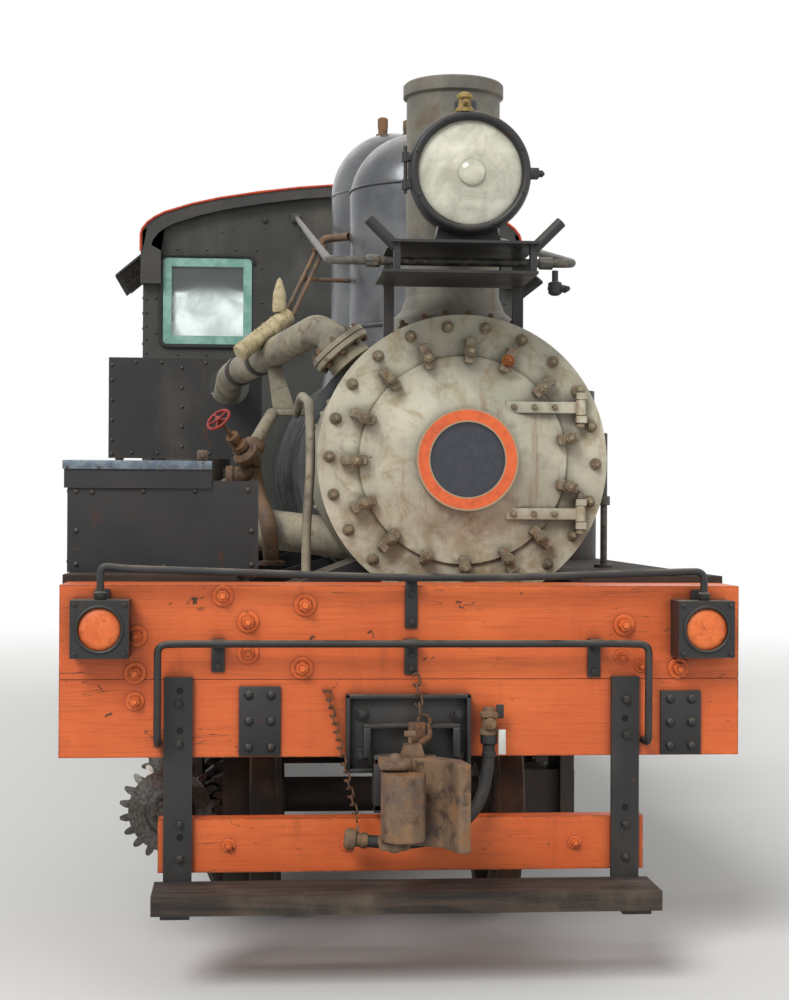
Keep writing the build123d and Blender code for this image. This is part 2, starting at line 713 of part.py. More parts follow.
plate_face = RING_FACE - 30 - DISH - FIT
number_plate = turned_y(BOILER_X + 6, BOILER_Z, [
    (0, plate_face - 12), (143, plate_face - 12), (143, plate_face - 26),
    (195, plate_face - 26), (195, plate_face), (0, plate_face),
])
keep("number_plate", number_plate)

# Clamps round the door: turn from the top in degrees, then the reach and the nut's place
# from the door's centre. The lowest ones are short, so that they pass over the beam and the
# rail as the door swings.
CLAMPS = (
    (2.9, 470, 415), (23.6, 470, 415), (47.2, 470, 415), (78.0, 452, 415), (103.8, 452, 415),
    (134.7, 470, 415), (156.0, 470, 415), (179.6, 454, 415), (201.2, 426, 400),
    (222.8, 470, 415), (246.0, 470, 415), (269.5, 470, 415), (292.8, 470, 415),
    (317.0, 470, 415), (339.8, 470, 415))
CLAMP_INNER = 372.0
CLAMP_SHANK = DOOR_RADIUS + 13
clamps = []
for turn, reach, nut in CLAMPS:
    arm = joined(
        block(-19, 19, RING_FACE - 58, RING_FACE - 16 - FIT, CLAMP_INNER, DOOR_RADIUS - 6),
        block(-19, 19, RING_FACE - 58, RING_FACE - 34, CLAMP_INNER, reach),
        block(-17, 17, RING_FACE - 36, RING_FACE - FIT, reach - 20, reach),
        rod_y(0, RING_FACE - 82, RING_FACE - 56, nut, 16),
        rod_y(0, RING_FACE - 88, RING_FACE - 80, nut, 9),
        rod_y(0, RING_FACE - 58, RING_FACE - FIT, CLAMP_SHANK, 9))
    clamps.append(Pos(BOILER_X, 0, BOILER_Z) * Rot(Y=turn) * arm)
keep("door_clamps", *clamps)


# Boiler with its jacket, taper and firebox

FIREBOX_Z = BOILER_Z - JACKET_RADIUS + FIREBOX_RADIUS
barrel = rod_y(BOILER_X, back(SMOKEBOX_END) + FIT, back(TAPER_START), BOILER_Z, JACKET_RADIUS)
taper_ends = []
for y, z, radius in ((back(TAPER_START), BOILER_Z, JACKET_RADIUS),
                     (back(TAPER_END), FIREBOX_Z, FIREBOX_RADIUS)):
    taper_ends.append(Plane((BOILER_X, y, z), x_dir=(1, 0, 0), z_dir=(0, 1, 0)) * Circle(radius))
taper = loft(taper_ends, ruled=True)
wrapper = rod_y(BOILER_X, back(TAPER_END), back(FIREBOX_END), FIREBOX_Z, FIREBOX_RADIUS)
fire_low = block(BOILER_X - FIREBOX_HALF, BOILER_X + FIREBOX_HALF, back(5100.0),
                 back(FIREBOX_END), GIRDER_TOP + FIT, FIREBOX_Z)
keep("boiler", joined(barrel, taper, wrapper, fire_low))

BEARER_PLACES = (3200.0, 5020.0)
BEARER_HALF = 24.0
bearers = []
for distance, radius, z in ((BEARER_PLACES[0], JACKET_RADIUS, BOILER_Z),
                            (BEARER_PLACES[1], FIREBOX_RADIUS, FIREBOX_Z)):
    y = back(distance)
    plate = plate_xz([
        (-GIRDER_X - 50, GIRDER_TOP + FIT), (GIRDER_X + 60, GIRDER_TOP + FIT),
        (GIRDER_X + 60, GIRDER_TOP + 30), (BOILER_X + 415, z - 450), (BOILER_X - 415, z - 450),
        (-GIRDER_X - 50, GIRDER_TOP + 30)], y - BEARER_HALF, y + BEARER_HALF)
    bearers.append(plate.cut(rod_y(BOILER_X, y - 100, y + 100, z, radius + FIT)))
saddle = saddle.cut(rod_y(BOILER_X, back(600.0), back(1600.0), BOILER_Z, SMOKEBOX_RADIUS + FIT))
keep("main_frame", saddle, *bearers)


# Stack and domes

stack_y = back(STACK_BACK)
stack_base = BOILER_Z + SMOKEBOX_RADIUS
stack = turned_z(BOILER_X, stack_y, [
    (STACK_RADIUS - 12, stack_base - 60), (STACK_RADIUS + 95, stack_base - 60),
    (STACK_RADIUS + 60, stack_base + 26), (STACK_RADIUS + 22, stack_base + 60),
    (STACK_RADIUS, stack_base + 120), (STACK_RADIUS, STACK_TOP - 62),
    (STACK_RADIUS + 14, STACK_TOP - 54), (STACK_RADIUS + 14, STACK_TOP - 8),
    (STACK_RADIUS + 6, STACK_TOP), (STACK_RADIUS - 12, STACK_TOP),
])
stack = stack.cut(rod_y(BOILER_X, stack_y - 500, stack_y + 500, BOILER_Z, SMOKEBOX_RADIUS + FIT))
keep("stack", stack)


def dome(distance, radius, top, shell_radius):
    """Round-topped dome with a flared foot, cut to the boiler."""
    y = back(distance)
    foot = BOILER_Z + shell_radius
    outline = Wire([
        Line((0, 0, foot - 160), (radius + 70, 0, foot - 160)).edge(),
        Line((radius + 70, 0, foot - 160), (radius + 34, 0, foot + 10)).edge(),
        Line((radius + 34, 0, foot + 10), (radius, 0, foot + 90)).edge(),
        Line((radius, 0, foot + 90), (radius, 0, top - radius)).edge(),
        ThreePointArc((radius, 0, top - radius),
                      (radius * math.cos(math.pi / 4), 0, top - radius * (1 - math.sin(math.pi / 4))),
                      (0, 0, top)).edge(),
        Line((0, 0, top), (0, 0, foot - 160)).edge(),
    ])
    shape = Pos(BOILER_X, y, 0) * revolve(Face(outline), Axis.Z)
    return shape.cut(rod_y(BOILER_X, y - 800, y + 800, BOILER_Z, shell_radius + FIT))


keep("dome_front", dome(FRONT_DOME_BACK, FRONT_DOME_RADIUS, FRONT_DOME_TOP, JACKET_RADIUS))
keep("dome_rear", dome(REAR_DOME_BACK, REAR_DOME_RADIUS, REAR_DOME_TOP, JACKET_RADIUS))


# Headlight on its shelf

shelf_front = back(120.0)
shelf_rear = back(560.0)
shelf_x0 = LAMP_X - 316
shelf_x1 = LAMP_X + 239
upper_shelf = block(shelf_x0, shelf_x1, shelf_front, shelf_rear, SHELF_Z - 10, SHELF_Z)
lower_shelf = block(shelf_x0 - 30, shelf_x1 - 10, shelf_front, shelf_rear - 40,
                    LOWER_SHELF_Z - 10, LOWER_SHELF_Z)
shelf_posts = []
for x in (shelf_x0 + 25, shelf_x1 - 25):
    shelf_posts.append(block(x - 20, x + 20, back(528.0), back(556.0),
                             BOILER_Z + 440, SHELF_Z - 5))
    shelf_posts.append(block(x - 12, x + 12, shelf_front + 20, shelf_front + 60,
                             LOWER_SHELF_Z - 5, SHELF_Z - 5))
    shelf_posts.append(block(x - 12, x + 12, back(300.0) - 14, back(300.0) + 14,
                             LOWER_SHELF_Z - 5, 2610.0 - 16.5 - FIT))
shelf_cut = rod_y(BOILER_X, back(400.0), back(700.0), BOILER_Z, SMOKEBOX_RADIUS + FIT)
lower_shelf = joined(lower_shelf, block(shelf_x0, shelf_x1 - 20, shelf_rear - 45, shelf_rear,
                                        LOWER_SHELF_Z - 10, LOWER_SHELF_Z))
shelf = joined(upper_shelf, lower_shelf, *shelf_posts).cut(shelf_cut)
sockets = []
for side, x in ((-1, shelf_x0 + 20), (1, shelf_x1 - 20)):
    tube = Pos(x, shelf_front + 40, SHELF_Z - 22) * Rot(Y=side * 45) * Pos(0, 0, 70)
    outer_tube = tube * Cylinder(21, 140)
    inner_tube = tube * Pos(0, 0, 20) * Cylinder(14, 110)
    sockets.append((outer_tube, inner_tube))
shelf = joined(shelf, *[pair[0] for pair in sockets]).cut(*[pair[1] for pair in sockets])
keep("headlight_shelf", shelf)

lamp_y = back(LAMP_BACK)
case = turned_y(LAMP_X, LAMP_Z, [
    (0, lamp_y + 320), (90, lamp_y + 314), (170, lamp_y + 280), (205, lamp_y + 220),
    (205, lamp_y + 40), (LAMP_RADIUS, lamp_y + 30), (LAMP_RADIUS, lamp_y - 10),
    (LAMP_RADIUS - 8, lamp_y - 22), (198, lamp_y - 22), (198, lamp_y + 8),
    (0, lamp_y + 8),
])
pedestal = plate_xz([
    (LAMP_X - 150, SHELF_Z + FIT), (LAMP_X + 150, SHELF_Z + FIT), (LAMP_X + 120, SHELF_Z + 60),
    (LAMP_X + 100, LAMP_Z - 150), (LAMP_X - 100, LAMP_Z - 150), (LAMP_X - 120, SHELF_Z + 60),
], lamp_y + 50, lamp_y + 190)
vent = rod_z(LAMP_X, lamp_y + 150, LAMP_Z + 190, LAMP_Z + 300, 45)
keep("headlight", joined(case, pedestal, vent))
lens = turned_y(LAMP_X, LAMP_Z, [
    (0, lamp_y - 34), (90, lamp_y - 28), (197.5, lamp_y - 8), (197.5, lamp_y + 2),
    (0, lamp_y + 2),
])
keep("lamp_lenses", lens)


# Marker lamps on the front beam

def marker(side):
    x = side * 1069.0
    z = 1256.0
    y = FRONT - FIT
    case = block(x - 101, x + 101, y - 130, y, z - 101, z + 101)
    case = case.cut(rod_y(x, y - 131, y - 100, z, 76))
    lens_piece = turned_y(x, z, [(0, y - 121), (50, y - 118), (75.7, y - 106), (75.7, y - 100),
                                 (0, y - 100)])
    return case, lens_piece


markers = [marker(side) for side in (-1, 1)]
keep("marker_lamps", *[pair[0] for pair in markers])
keep("lamp_lenses", *[pair[1] for pair in markers])


# Toolbox with its lid, on the deck behind the front beam

BOX_X0 = -1250.0
BOX_X1 = -519.0
BOX_Y0 = back(560.0)
BOX_Y1 = back(1250.0)
BOX_TOP = 1784.0
LID_X0 = -1262.0
LID_X1 = -700.0
LID_TOP = 1862.0
toolbox = block(BOX_X0, BOX_X1, BOX_Y0, BOX_Y1, DECK_Z + FIT, BOX_TOP)
toolbox = toolbox.cut(block(BOX_X0 + 6, LID_X1 - 20, BOX_Y0 + 6, BOX_Y1 - 6, DECK_Z + 10,
                            BOX_TOP + 1))
keep("toolbox", toolbox)
LID_HINGE_Y = BOX_Y1 + 14
LID_HINGE_Z = BOX_TOP + 8
lid = plate_yz([
    (BOX_Y0 - 12, BOX_TOP - 30), (BOX_Y0 - 12, LID_TOP - 30), (BOX_Y0 + 40, LID_TOP),
    (BOX_Y1, LID_TOP - 20), (BOX_Y1, BOX_TOP + FIT), (BOX_Y1 - 8, BOX_TOP + FIT),
    (BOX_Y1 - 8, LID_TOP - 28), (BOX_Y0 + 44, LID_TOP - 8), (BOX_Y0 - 6, LID_TOP - 36),
    (BOX_Y0 - 6, BOX_TOP - 30),
], LID_X0, LID_X1)
ends = []
for x in (LID_X0, LID_X1 - 6):
    ends.append(plate_yz([
        (BOX_Y0 - 12, BOX_TOP + FIT), (BOX_Y0 - 12, LID_TOP - 30), (BOX_Y0 + 40, LID_TOP),
        (BOX_Y1, LID_TOP - 20), (BOX_Y1, BOX_TOP + FIT)], x, x + 6))
lid = joined(lid, *ends, rod_x(LID_X0 + 60, LID_X0 + 160, LID_HINGE_Y, LID_HINGE_Z, 9),
             rod_x(LID_X1 - 160, LID_X1 - 60, LID_HINGE_Y, LID_HINGE_Z, 9),
             block(LID_X0 + 60, LID_X0 + 160, BOX_Y1 - 6, LID_HINGE_Y, LID_HINGE_Z, LID_HINGE_Z + 9),
             block(LID_X1 - 160, LID_X1 - 60, BOX_Y1 - 6, LID_HINGE_Y, LID_HINGE_Z,
                   LID_HINGE_Z + 9))
keep("toolbox_lid", lid)


# Decks each side of the boiler

def deck(x0, x1, y0, y1):
    return block(x0, x1, y0, y1, DECK_BOTTOM, DECK_Z)


decks = [
    deck(-1240, -600, back(BEAM_THICK) + FIT, back(2850.0)),
    deck(700, 1240, back(BEAM_THICK) + FIT, back(TAPER_END)),
    deck(820, 1240, back(TAPER_END) + FIT, back(CAB_BACK) - FIT),
    deck(-1240, -600, back(5050.0), back(CAB_BACK) - FIT),
]
keep("running_boards", *decks)


# Cab: floor, front, sides, rear, roof, awnings, window frames and glass

CAB_Y0 = back(CAB_BACK)
CAB_Y1 = back(CAB_END)
floor_piece = block(-CAB_HALF, CAB_HALF, CAB_Y0, CAB_Y1, DECK_BOTTOM, CAB_FLOOR_Z)
floor_piece = floor_piece.cut(block(BOILER_X - FIREBOX_HALF - 6, BOILER_X + FIREBOX_HALF + 6,
                                    CAB_Y0 - 1, back(FIREBOX_END) + 10, 1300, 1500))
keep("cab_floor", floor_piece)

ROOF_POINTS = [(-1340.0, 3560.0), (-1264.0, 3627.0), (-950.0, 3750.0), (-600.0, 3845.0),
               (-300.0, 3894.0), (0.0, ROOF_TOP), (300.0, 3894.0), (600.0, 3845.0),
               (950.0, 3750.0), (1264.0, 3627.0), (1340.0, 3560.0)]
ROOF_THICK = 30.0


def under_roof(x):
    """Height of the roof's underside at a place across the cab."""
    for (xa, za), (xb, zb) in zip(ROOF_POINTS, ROOF_POINTS[1:]):
        if xa <= x <= xb:
            return za + (zb - za) * (x - xa) / (xb - xa) - ROOF_THICK
    return ROOF_POINTS[0][1] - ROOF_THICK


roof_low = [(x, z - ROOF_THICK) for x, z in ROOF_POINTS]
roof = plate_xz(ROOF_POINTS + list(reversed(roof_low)), CAB_Y0 - 260, CAB_Y1 + 120)
keep("cab_roof", roof)

wall_top = [(x, under_roof(x) - FIT) for x in (-CAB_HALF, -1264.0, -950.0, -600.0, -300.0, 0.0,
                                              300.0, 600.0, 950.0, 1264.0, CAB_HALF)]
wall_outline = [(CAB_HALF, CAB_FLOOR_Z + FIT), (-CAB_HALF, CAB_FLOOR_Z + FIT)] + wall_top
WINDOW_X0 = 551.0
WINDOW_X1 = 1158.0
WINDOW_Z0 = 2808.0
WINDOW_Z1 = 3400.0
front_wall = plate_xz(wall_outline, CAB_Y0, CAB_Y0 + CAB_WALL)
front_cuts = [rod_y(BOILER_X, CAB_Y0 - 10, CAB_Y0 + 10, FIREBOX_Z, FIREBOX_RADIUS + FIT),
              block(BOILER_X - FIREBOX_HALF - FIT, BOILER_X + FIREBOX_HALF + FIT,
                    CAB_Y0 - 10, CAB_Y0 + 10, 1400, FIREBOX_Z)]
for side in (-1, 1):
    front_cuts.append(block(side * WINDOW_X0, side * WINDOW_X1, CAB_Y0 - 10, CAB_Y0 + 10,
                            WINDOW_Z0, WINDOW_Z1))
keep("cab_front", front_wall.cut(*front_cuts))

rear_wall = plate_xz(wall_outline, CAB_Y1 - CAB_WALL, CAB_Y1)
rear_cuts = [block(side * WINDOW_X0, side * WINDOW_X1, CAB_Y1 - 10, CAB_Y1 + 10,
                   WINDOW_Z0 + 60, WINDOW_Z1) for side in (-1, 1)]
keep("cab_walls", rear_wall.cut(*rear_cuts))

SIDE_TOP = under_roof(CAB_HALF) - 2 * FIT
side_wall = block(-CAB_HALF, -CAB_HALF + CAB_WALL, CAB_Y0 + CAB_WALL + FIT,
                  CAB_Y1 - CAB_WALL - FIT, CAB_FLOOR_Z + FIT, SIDE_TOP)
side_wall = side_wall.cut(
    block(-CAB_HALF - 10, -CAB_HALF + 10, CAB_Y0 + 150, CAB_Y0 + 1150, 2560, 3380),
    block(-CAB_HALF - 10, -CAB_HALF + 10, CAB_Y0 + 1300, CAB_Y1 - 100, 1500, 3380))
keep("cab_walls", side_wall, mirror_x(side_wall))

awning = plate_xz([(-AWNING_X, 3290), (-CAB_HALF - FIT, 3455), (-CAB_HALF - FIT, 3435),
                   (-AWNING_X, 3275)], CAB_Y0 + 80, CAB_Y0 + 1220)
keep("awnings", awning, mirror_x(awning))


def window_frame(x0, x1, z0, z1, y0, y1):
    outer = block(x0, x1, y0, y1, z0, z1)
    return outer.cut(block(x0 + 58, x1 - 58, y0 - 1, y1 + 1, z0 + 58, z1 - 58))


frames = []
panes = []
for side in (-1, 1):
    x0 = min(side * WINDOW_X0, side * WINDOW_X1)
    x1 = max(side * WINDOW_X0, side * WINDOW_X1)
    frames.append(window_frame(x0 + FIT, x1 - FIT, WINDOW_Z0 + FIT, WINDOW_Z1 - FIT,
                               CAB_Y0 - 14, CAB_Y0 + 26))
    panes.append(block(x0 + 58 + 2 * FIT, x1 - 58 - 2 * FIT, CAB_Y0 + 3, CAB_Y0 + 8,
                       WINDOW_Z0 + 58 + 2 * FIT, WINDOW_Z1 - 58 - 2 * FIT))
keep("window_frames", *frames)
keep("window_glass", *panes)


# Bunker behind the cab, with a hinged hatch

bunker = block(-1180, 1180, CAB_Y1 + 30, back(BUNKER_END), GIRDER_TOP + FIT, BUNKER_TOP)
bunker = fillet(bunker.edges().filter_by(Axis.Z), 90)
HATCH_Y = back(9900.0)
HATCH_RADIUS = 230.0
neck = rod_z(0, HATCH_Y, BUNKER_TOP - 5, BUNKER_TOP + 80, HATCH_RADIUS)
bunker = joined(bunker, neck).cut(rod_z(0, HATCH_Y, BUNKER_TOP - 200, BUNKER_TOP + 81,
                                        HATCH_RADIUS - 8))
keep("bunker", bunker)
HATCH_HINGE_Y = HATCH_Y + HATCH_RADIUS + 24
HATCH_HINGE_Z = BUNKER_TOP + 92
hatch = joined(
    rod_z(0, HATCH_Y, BUNKER_TOP + 80 + FIT, BUNKER_TOP + 92, HATCH_RADIUS + 12),
    rod_x(-50, 50, HATCH_HINGE_Y, HATCH_HINGE_Z, 12),
    block(-50, 50, HATCH_Y + 180, HATCH_HINGE_Y, BUNKER_TOP + 84, BUNKER_TOP + 98),
    rod_z(0, HATCH_Y, BUNKER_TOP + 90, BUNKER_TOP + 120, 30))
keep("bunker_hatch", hatch)


# Three-cylinder upright engine on the side of the frame

CYL_YS = [back(ENGINE_FIRST + n * ENGINE_PITCH) for n in range(ENGINE_COUNT)]
engine_pieces = []
for y in CYL_YS:
    engine_pieces.append(turned_z(SHAFT_X, y, [
        (0, CYLINDER_BOTTOM), (CYLINDER_RADIUS + 14, CYLINDER_BOTTOM),
        (CYLINDER_RADIUS + 14, CYLINDER_BOTTOM + 40), (CYLINDER_RADIUS, CYLINDER_BOTTOM + 44),
        (CYLINDER_RADIUS, CYLINDER_TOP - 54), (CYLINDER_RADIUS + 14, CYLINDER_TOP - 50),
        (CYLINDER_RADIUS + 14, CYLINDER_TOP), (110, CYLINDER_TOP + 34), (0, CYLINDER_TOP + 40),
    ]))
    engine_pieces.append(block(SHAFT_X - 90, SHAFT_X + 100, y + 150, y + ENGINE_PITCH - 130,
                               CYLINDER_BOTTOM + 60, CYLINDER_TOP - 80))
HEADER_X = -700.0
HEADER_Z = 2200.0
HEADER_Y0 = CYL_YS[0] - 230
engine_pieces.append(block(-GIRDER_X - 80, SHAFT_X + 60, CYL_YS[0] - 100, CYL_YS[-1] + 240,
                           CYLINDER_BOTTOM + 20, CYLINDER_BOTTOM + 200))
engine_pieces.append(rod_y(HEADER_X, HEADER_Y0, CYL_YS[-1] + 240, HEADER_Z, 62))
engine_pieces.append(block(HEADER_X - 60, HEADER_X + 10, CYL_YS[0], CYL_YS[-1] + 200,
                           HEADER_Z - 50, HEADER_Z + 50))
for y in (CYL_YS[0] - 60, (CYL_YS[0] + CYL_YS[-1]) / 2 + 60, CYL_YS[-1] + 190):
    engine_pieces.append(block(-GIRDER_X - 60, -GIRDER_X - 20, y - 40, y + 40,
                               GIRDER_TOP + FIT, CYLINDER_BOTTOM + 200))
    engine_pieces.append(block(-GIRDER_X - 90, -GIRDER_X - 20, y - 38, y + 38,
                               CYLINDER_BOTTOM + 30, CYLINDER_BOTTOM + 190))
engine = joined(*engine_pieces)
keep("engine_cylinders", engine)

guides = []
for y in CYL_YS:
    for side in (-1, 1):
        guides.append(block(SHAFT_X + side * 105, SHAFT_X + side * 140, y - 45, y + 45,
                            1120, CYLINDER_BOTTOM - FIT))
BEARING_YS = [CYL_YS[0] - ENGINE_PITCH / 2, CYL_YS[0] + ENGINE_PITCH / 2,
              CYL_YS[1] + ENGINE_PITCH / 2, CYL_YS[2] + ENGINE_PITCH / 2]
FRAME_SIDE_X = -GIRDER_X - GIRDER_WIDTH / 2 - FIT
bearing_frames = []
for y in BEARING_YS:
    bearing_frames.append(plate_xz([
        (SHAFT_X - 150, AXLE_Z + 60), (SHAFT_X - 120, AXLE_Z - 110), (SHAFT_X + 120, AXLE_Z - 110),
        (SHAFT_X + 150, AXLE_Z + 60), (FRAME_SIDE_X, 1050), (FRAME_SIDE_X, 1260),
        (SHAFT_X + 150, 1380), (SHAFT_X - 150, 1380), (SHAFT_X - 175, 1150),
    ], y - 28, y + 28))
beam_lengths = block(SHAFT_X - 150, SHAFT_X - 136, BEARING_YS[0], BEARING_YS[-1], 1120, 1380)
beam_inner = block(FRAME_SIDE_X - 24, FRAME_SIDE_X, BEARING_YS[0] - 28, BEARING_YS[-1] + 28,
                   GIRDER_TOP - GIRDER_DEPTH + 5, GIRDER_TOP - 5)
top_rail = block(SHAFT_X + 136, SHAFT_X + 150, BEARING_YS[0], BEARING_YS[-1], 1120, 1380)
engine_frame = joined(*bearing_frames, beam_lengths, beam_inner, top_rail, *guides)
engine_frame = engine_frame.cut(
    rod_y(SHAFT_X, BEARING_YS[0] - 100, BEARING_YS[-1] + 100, AXLE_Z, 55.05),
    *[block(SHAFT_X - 104, SHAFT_X + 104, y - 120, y + 120, 1000, 1380) for y in CYL_YS])
keep("engine_frame", engine_frame)

CRANK_TURNS = (20.0, 140.0, 260.0)
CRANK_FRONT_Y = BEARING_YS[0] - 140
CRANK_REAR_Y = BEARING_YS[-1] + 140
crank_pieces = [rod_y(SHAFT_X, CRANK_FRONT_Y + JOINT_GAP, BEARING_YS[0] + 70, AXLE_Z, 55),
                rod_y(SHAFT_X, BEARING_YS[-1] - 70, CRANK_REAR_Y - JOINT_GAP, AXLE_Z, 55),
                rod_y(SHAFT_X, BEARING_YS[1] - 70, BEARING_YS[1] + 70, AXLE_Z, 55),
                rod_y(SHAFT_X, BEARING_YS[2] - 70, BEARING_YS[2] + 70, AXLE_Z, 55)]
rods = []
for y, turn in zip(CYL_YS, CRANK_TURNS):
    px = SHAFT_X + CRANK_THROW * math.sin(math.radians(turn))
    pz = AXLE_Z + CRANK_THROW * math.cos(math.radians(turn))
    crank_pieces.append(rod_y(px, y - 100, y + 100, pz, 48))
    for y0 in (y - 155, y + 95):
        web = Pos(SHAFT_X, y0 + 30, AXLE_Z) * Rot(Y=turn) * Box(150, 60, 2 * CRANK_THROW + 160)
        crank_pieces.append(web)
    rod_length = 720.0
    cross_z = pz + math.sqrt(rod_length ** 2 - (px - SHAFT_X) ** 2)
    lean = math.degrees(math.asin((SHAFT_X - px) / rod_length))
    big_end = rod_y(px, y - 45, y + 45, pz, 95)
    small_end = rod_y(SHAFT_X, y - 40, y + 40, cross_z, 62)
    shank = Pos(px, y, pz) * Rot(Y=lean) * Pos(0, 0, rod_length / 2) * Box(70, 50, rod_length - 40)
    slipper = block(SHAFT_X - 104, SHAFT_X + 104, y - 42, y + 42, cross_z - 90, cross_z + 90)
    piston_rod = rod_z(SHAFT_X, y, cross_z + 60, CYLINDER_BOTTOM - FIT, 28)
    rod = joined(big_end, small_end, shank, slipper, piston_rod)
    rods.append(rod.cut(rod_y(px, y - 60, y + 60, pz, 48.3)))
for y, way in ((CRANK_FRONT_Y, 1), (CRANK_REAR_Y, -1)):
    crank_pieces.append(rod_y(SHAFT_X, y + way * JOINT_GAP, y + way * (JOINT_GAP + 25), AXLE_Z,
                              JOINT_FLANGE))
    crank_pieces.append(rod_y(SHAFT_X, y, y + way * (JOINT_GAP + 5), AXLE_Z, 22))
    crank_pieces.append(Pos(SHAFT_X, y, AXLE_Z) * Sphere(JOINT_BALL))
keep("crankshaft", joined(*crank_pieces))


def slip_pair(engine_y, truck_y):
    """Square bar at the engine's end and square sleeve at the truck's end of a telescopic shaft."""
    way = 1 if truck_y > engine_y else -1
    span = abs(truck_y - engine_y) - 2 * JOINT_GAP
    bar_length = span * 0.72
    sleeve_length = span * 0.60
    bar_y = engine_y + way * JOINT_GAP
    sleeve_y = truck_y - way * (JOINT_GAP + SLEEVE_GAP)
    half = SLIP_BAR / 2
    hollow = half + SLIP_PLAY
    wall = SLIP_SLEEVE / 2
    bar = block(SHAFT_X - half, SHAFT_X + half, bar_y, bar_y + way * bar_length,
                AXLE_Z - half, AXLE_Z + half)
    bar_flange = rod_y(SHAFT_X, bar_y, bar_y + way * 25, AXLE_Z, JOINT_FLANGE)
    socket = rod_y(SHAFT_X, engine_y + way * 12, bar_y + way * 5, AXLE_Z, JOINT_BALL + 12)
    socket = socket.cut(Pos(SHAFT_X, engine_y, AXLE_Z) * Sphere(JOINT_BALL + FIT))
    tube = block(SHAFT_X - wall, SHAFT_X + wall, sleeve_y, sleeve_y - way * sleeve_length,
                 AXLE_Z - wall, AXLE_Z + wall)
    tube_flange = rod_y(SHAFT_X, sleeve_y, sleeve_y - way * 25, AXLE_Z, JOINT_FLANGE)
    tube_bore = block(SHAFT_X - hollow, SHAFT_X + hollow, sleeve_y - way * 30,
                      sleeve_y - way * (sleeve_length + 1), AXLE_Z - hollow, AXLE_Z + hollow)
    return joined(bar, bar_flange, socket), joined(tube, tube_flange).cut(tube_bore)


FRONT_DRIVE_Y = FRONT_TRUCK_Y + WHEELBASE / 2 + SHAFT_TAIL
REAR_DRIVE_Y = REAR_TRUCK_Y - WHEELBASE / 2 - NOSE_LENGTH
for place, engine_y, truck_y in (("front", CRANK_FRONT_Y, FRONT_DRIVE_Y),
                                 ("rear", CRANK_REAR_Y, REAR_DRIVE_Y)):
    bar, sleeve = slip_pair(engine_y, truck_y)
    keep("slip_bar_" + place, bar)
    keep("slip_sleeve_" + place, sleeve)
    print(place, "drive joint", engine_y, truck_y)
keep("connecting_rods", *rods)

SHIELD_Y = back(2700.0)
shield = block(-1264, -497, SHIELD_Y, SHIELD_Y + 6, 1929, 2436)
shield = shield.cut(rod_y(-660, SHIELD_Y - 10, SHIELD_Y + 16, 2300, 100))
shield_legs = [block(-1230, -1190, SHIELD_Y + 5, SHIELD_Y + 45, DECK_Z + FIT, 2100),
               block(-780, -740, SHIELD_Y + 5, SHIELD_Y + 45, DECK_Z + FIT, 2000)]
keep("engine_shield", joined(shield, *shield_legs))


# Pipes between boiler, smokebox and engine

shell_clear = rod_y(BOILER_X, back(1000.0), back(2000.0), BOILER_Z, SMOKEBOX_RADIUS + FIT)
steam_path = [(-110, back(1500.0), 2325), (-240, back(1520.0), 2483), (-650, back(2450.0), 2330),
              (HEADER_X, back(3340.0), HEADER_Z), (HEADER_X, HEADER_Y0 - FIT, HEADER_Z)]
keep("steam_pipe", piped(steam_path, 68, [110, 500, 300]).cut(shell_clear))
exhaust_path = [(-60, back(1380.0), 1540), (-500, back(1760.0), 1590),
                (-640, back(2700.0), 1700), (-650, back(3100.0), 1760)]
keep("exhaust_pipe", piped(exhaust_path, 88, [300, 300]).cut(shell_clear))


# Handrails

def rail(points, radius, bends):
    return piped(points, radius, bends)


front_rail = rail([
    (-290, back(1400.0), 2640), (-290, back(300.0), 2610), (760, back(300.0), 2610),
    (822, back(1400.0), 2640), (822, back(5900.0), 2640)], 16.5, [90, 90, 200])
def stanchion(x, z, distance, shell_radius, shell_z):
    """Radial post from the boiler's jacket to a handrail."""
    dx = x - BOILER_X
    dz = z - shell_z
    turn = math.degrees(math.atan2(dx, dz))
    reach = math.hypot(dx, dz)
    length = reach - shell_radius - FIT
    return (Pos(BOILER_X, back(distance), shell_z) * Rot(Y=turn)
            * Pos(0, 0, shell_radius + FIT + length / 2) * Cylinder(11, length))


posts = []
for distance in (1700.0, 3000.0, 4200.0):
    posts.append(stanchion(822, 2640, distance, JACKET_RADIUS if distance > SMOKEBOX_END
                           else SMOKEBOX_RADIUS, BOILER_Z))
posts.append(stanchion(822, 2640, 5400.0, FIREBOX_RADIUS, FIREBOX_Z))
posts.append(stanchion(-290, 2640, 1380.0, SMOKEBOX_RADIUS, BOILER_Z))
keep("handrails", joined(front_rail, *posts))

grab_y = FRONT - 84
upper_grab = rail([
    (-1069, grab_y, 1357 + FIT), (-1069, grab_y, 1476), (-55, grab_y, 1436), (420, grab_y, 1439),
    (1069, grab_y, 1460), (1069, grab_y, 1357 + FIT)], 12.5, [50, 900, 900, 50])
lower_grab = rail([
    (-870, FRONT - FIT, 850), (-870, grab_y, 850), (-870, grab_y, 1200), (870, grab_y, 1200),
    (870, grab_y, 850), (870, FRONT - FIT, 850)], 13, [40, 60, 60, 40])
keep("grab_irons", upper_grab, lower_grab)


# Air hose at the front beam

hose_valve = rod_z(300, FRONT - 60, 880, 960, 30)
glad_hand = Pos(-160, FRONT - 110, 590) * Rot(Y=-65.6) * Pos(0, 0, 36) * Cylinder(30, 70)
hose = piped([(300, FRONT - 60, 880 - FIT), (300, FRONT - 60, 720), (250, FRONT - 112, 590),
              (110, FRONT - 118, 530), (-50, FRONT - 112, 540), (-160, FRONT - 110, 590)],
             22, [150, 140, 140, 140])
keep("air_hose_fittings", joined(hose_valve, block(280, 320, FRONT - 90, FRONT - FIT, 900, 940)),
     glad_hand)
keep("air_hose", hose)


